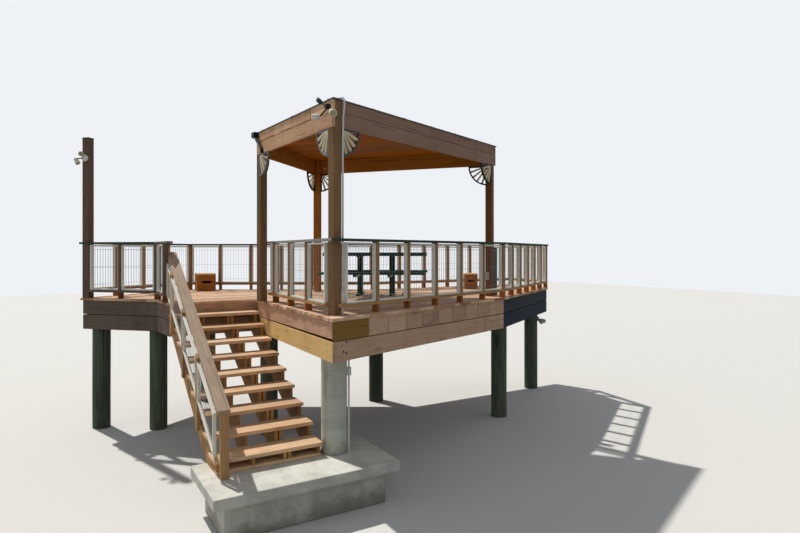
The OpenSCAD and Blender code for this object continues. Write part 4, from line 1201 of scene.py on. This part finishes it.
# %% Small lamp, and the pieces of the others
SMALL_LAMP_PARTS = (
    ("small_lamp_base", 58, white_finish, (0, 0.010, 0.012), (0.026, 0.026, 0.022), 24),
    ("small_lamp_lens", 59, amber_finish, (0.011, 0.022, 0.030, 0.034), (0.019, 0.018, 0.012, 0.004), 20),
)
small_at = Vector((1.9465, 4.0917, 4.50)) - BACK_WAY * 0.215 + ACROSS * 0.039
for name, seed, finish, outs, radii, sides in SMALL_LAMP_PARTS:
    part = Stock(seed).sweep([small_at + ACROSS * d for d in outs], radii, sides)
    part.piece(name, finish, "white_plastic")

made = {key: lamp_parts[key].piece(name, finish, slot, 0, smooth) for key, name, finish, slot, smooth in (
    ("white", "post_lamp_bodies", white_finish, "white_plastic", 30),
    ("blue", "floodlight_bodies", steel_blue_finish, "white_plastic", 30),
    ("rim", "lamp_rims", olive_finish, "white_plastic", 30),
    ("lens", "lamp_lenses", lens_finish, "white_plastic", 30),
    ("arm", "lamp_arms", black_finish, "black_iron", 50),
)}
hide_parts("twin_spotlights")
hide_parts("corner_floodlight")
print("pieces of the lamps with two heads:", len(made))

# %% [markdown]
# ## Lamp post, boxes and table
#
# The remaining fittings get the parts that the picture shows: a black cap on the lamp post,
# lids on the boxes, and a framed mesh for the table top and its benches.

# %% Lamp post and boxes
CAP_H, CAP_HALF = 0.016, 0.062
BOX_OUT = level_way(210.4)
COVER_SEAM_AT, COVER_SEAM = 0.03075, 0.0015


def below_cap(solid):
    return [(cut_off(solid, UP * (span(solid, UP)[1] - CAP_H), -UP), UP, {})]


def lidded(depth, gap, **lid_look):
    """Cuts a lid off the top of a box and leaves a fine seam under it."""
    def shape(solid):
        body, lid = saw(solid, UP, [span(solid, UP)[1] - depth - gap / 2], gap)
        return [(body, long_way(body, level=True), {}), (lid, long_way(lid, level=True), lid_look)]
    return shape


def cover_seam(solid):
    """Parts the junction box into its back and its cover."""
    seam = span(solid, BOX_OUT)[0] + COVER_SEAM_AT
    return [(part, UP, {}) for part in saw(solid, BOX_OUT, [seam], COVER_SEAM)]


dress("lamp_post", lamp_post_finish, "post_timber", 0.005, 28, shape=below_cap)
cap_at = Vector((lamp_at.x, lamp_at.y, cad_box[1].z - CAP_H / 2))
cap_ends = [cap_at + level_way(POST_OUT) * d for d in (-CAP_HALF, CAP_HALF)]
Stock(60).bar(*cap_ends, 2 * CAP_HALF, CAP_H).piece("lamp_post_cap", black_finish, "black_iron", 0.003)
dress("box_seats", box_finish, "box_timber", 0.003, 31, shape=lidded(0.026, 0.001, finish=pine_finish))
dress("cabinet", green_finish, "green_metal", 0.004, 37, shape=lidded(0.045, 0.002, tint=1.0, tone=1.0))
dress("junction_box", steel_blue_finish, "conduit_plastic", 0.002, 36, shape=cover_seam)
print("boxes have their lids")

# %% Mesh table
MESH_PITCH = 0.032
MESH_BAR = (0.009, 0.004)
RIM_W = 0.026
TOP_APRON = 0.022


def mesh_slab(stock, solid, apron=0.0):
    """A rim with crossing thin bars, in the shape of a flat slab. An apron deepens the rim."""
    along = long_way(solid, level=True)
    across = UP.cross(along)
    c = middle(solid)
    half_l, half_w, half_h = ((span(solid, d)[1] - span(solid, d)[0]) / 2 for d in (along, across, UP))

    def bar(at, way, reach, width, depth):
        stock.bar(at - way * reach, at + way * reach, width, depth)

    drop = UP * -apron / 2
    inner = half_w - RIM_W + 0.001
    for s in (-1, 1):
        bar(c + drop + across * s * (half_w - RIM_W / 2), along, half_l, RIM_W, half_h * 2 + apron)
        bar(c + drop + along * s * (half_l - RIM_W / 2), across, inner, RIM_W, half_h * 2 + apron)
    for way, other, half, reach, sunk in (
        (along, across, half_w, half_l, 0.006), (across, along, half_l, half_w, 0.0095),
    ):
        count = int(2 * half / MESH_PITCH)
        for k in range(1, count):
            mid = c + other * half * (2 * k / count - 1) + UP * (half_h - sunk)
            bar(mid, way, reach - RIM_W + 0.004, *MESH_BAR)


table_stock = Stock(29)
table_slabs = sorted(solids_of("picnic_table_top"), key=lambda s: middle(s).z)
for solid in table_slabs:
    mesh_slab(table_stock, solid, TOP_APRON if solid is table_slabs[-1] else 0.0)
table = table_stock.piece("picnic_table_mesh", green_finish, "green_metal")
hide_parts("picnic_table_top")
dress("picnic_table_frame", green_finish, "green_metal", 0.003, 30)
print("mesh bars:", len(table_stock.verts) // 8)

# %% [markdown]
# ## Screws and clips
#
# The last small pieces are what holds the rest: screw heads along the fascia, the canopy
# boards and the treads, and the saddle clips that hold the conduit to its post.

# %% Screws on boards
SCREW_SIDES = 8
TREAD_SCREWS_X = (-0.86, -0.275, 0.305)

board_screws = Stock(61)


def screw(at, out, proud, radius):
    board_screws.sweep([at - out * 0.001, at + out * proud], [radius, 0.005], SCREW_SIDES)


def screw_line(solid, outside, first, pitch, inset):
    """Pairs of screw heads on a board's outer face, near its upper and lower edge."""
    way = long_way(solid)
    out = way.cross(UP) if way.cross(UP).dot(outside) > 0 else UP.cross(way)
    low, high = span(solid, way)
    face = span(solid, out)[1]
    foot, head = span(solid, UP)
    at = low + first
    while at < high - 0.06:
        for z in (foot + inset, head - inset):
            screw(way * at + out * face + UP * z, out, 0.0012, 0.0058)
        at += pitch


for solid in front_solids:
    screw_line(solid, -front_in, 0.14, 0.665, 0.045)
for solid in solids_of("fascia_stair_side"):
    if span(solid, Y)[0] < 0:
        screw_line(solid, -stair_in, 0.2, 0.615, 0.045)
for node in ("canopy_upper_boards", "canopy_lower_boards"):
    around = solids_of(node)
    centre = sum((middle(s) for s in around), Vector()) / len(around)
    for solid in around:
        screw_line(solid, middle(solid) - centre, 0.10, 0.46, 0.032)
for solid in solids_of("treads"):
    for x in TREAD_SCREWS_X:
        for y in (span(solid, Y)[0] + 0.07, span(solid, Y)[1] - 0.07):
            screw(Vector((x, y, span(solid, UP)[1])), UP, 0.0006, 0.0055)
board_screws.piece("board_screws", screw_finish, "tan_timber")
print("screws on boards:", len(board_screws.verts) // (2 * SCREW_SIDES))

# %% Holes in the first front board, as dark discs of painted shade
HOLES = ((0.259, 1.865), (0.211, 1.759), (0.260, 1.739))

front_out = -front_in
front_face = front_out * span(front_solids[0], front_out)[1]
# Each hole is a flat dark disc on the board's face: painted shade where the hole is.
hole_shade_discs = Stock(63)
for s, z in HOLES:
    p = front_face + front_way * (near_corner.dot(front_way) + s) + UP * z
    hole_shade_discs.sweep([p - front_out * 0.001, p + front_out * 0.0008], [0.014, 0.013], 16)
hole_shade_discs.piece("bolt_holes_painted_shade", charcoal_finish, "dark_timber")
print("painted shade holes:", len(HOLES))

# %% Conduit clips and fitting
CLIPS_Z = (2.52, 3.35, 4.12)
FITTING_Z = 1.475
COVER_OUT = 0.021


def pipe_middle(low, high):
    """The middle of the conduit's corners between two heights."""
    corners = [v for s in solids_of("conduit") for v in s[0] if low < v.z < high]
    return sum(corners, Vector()) / len(corners)


pipe_at = pipe_middle(deck_top - 0.004, deck_top + 0.004)
clips = Stock(62)
for z in CLIPS_Z:
    p = Vector((pipe_at.x, pipe_at.y, z))
    clips.sweep([p, p + UP * 0.014], [0.0142, 0.0142], 20)
clips.piece("conduit_clips", zinc_finish, "conduit_plastic")

fitting_at = pipe_middle(-1.0, 1.0)
fitting_at.z = FITTING_Z
cover_at = fitting_at + front_out * COVER_OUT
fitting = Stock(65)
fitting.bar(fitting_at - UP * 0.05, fitting_at + UP * 0.05, 0.046, 0.040, front_out)
fitting.bar(cover_at - UP * 0.042, cover_at + UP * 0.042, 0.040, 0.004, front_out)
fitting.piece("conduit_fitting", conduit_finish, "conduit_plastic", 0.006)
print("conduit stands at", shown(pipe_at), "and its fitting at", shown(fitting_at))

# %% [markdown]
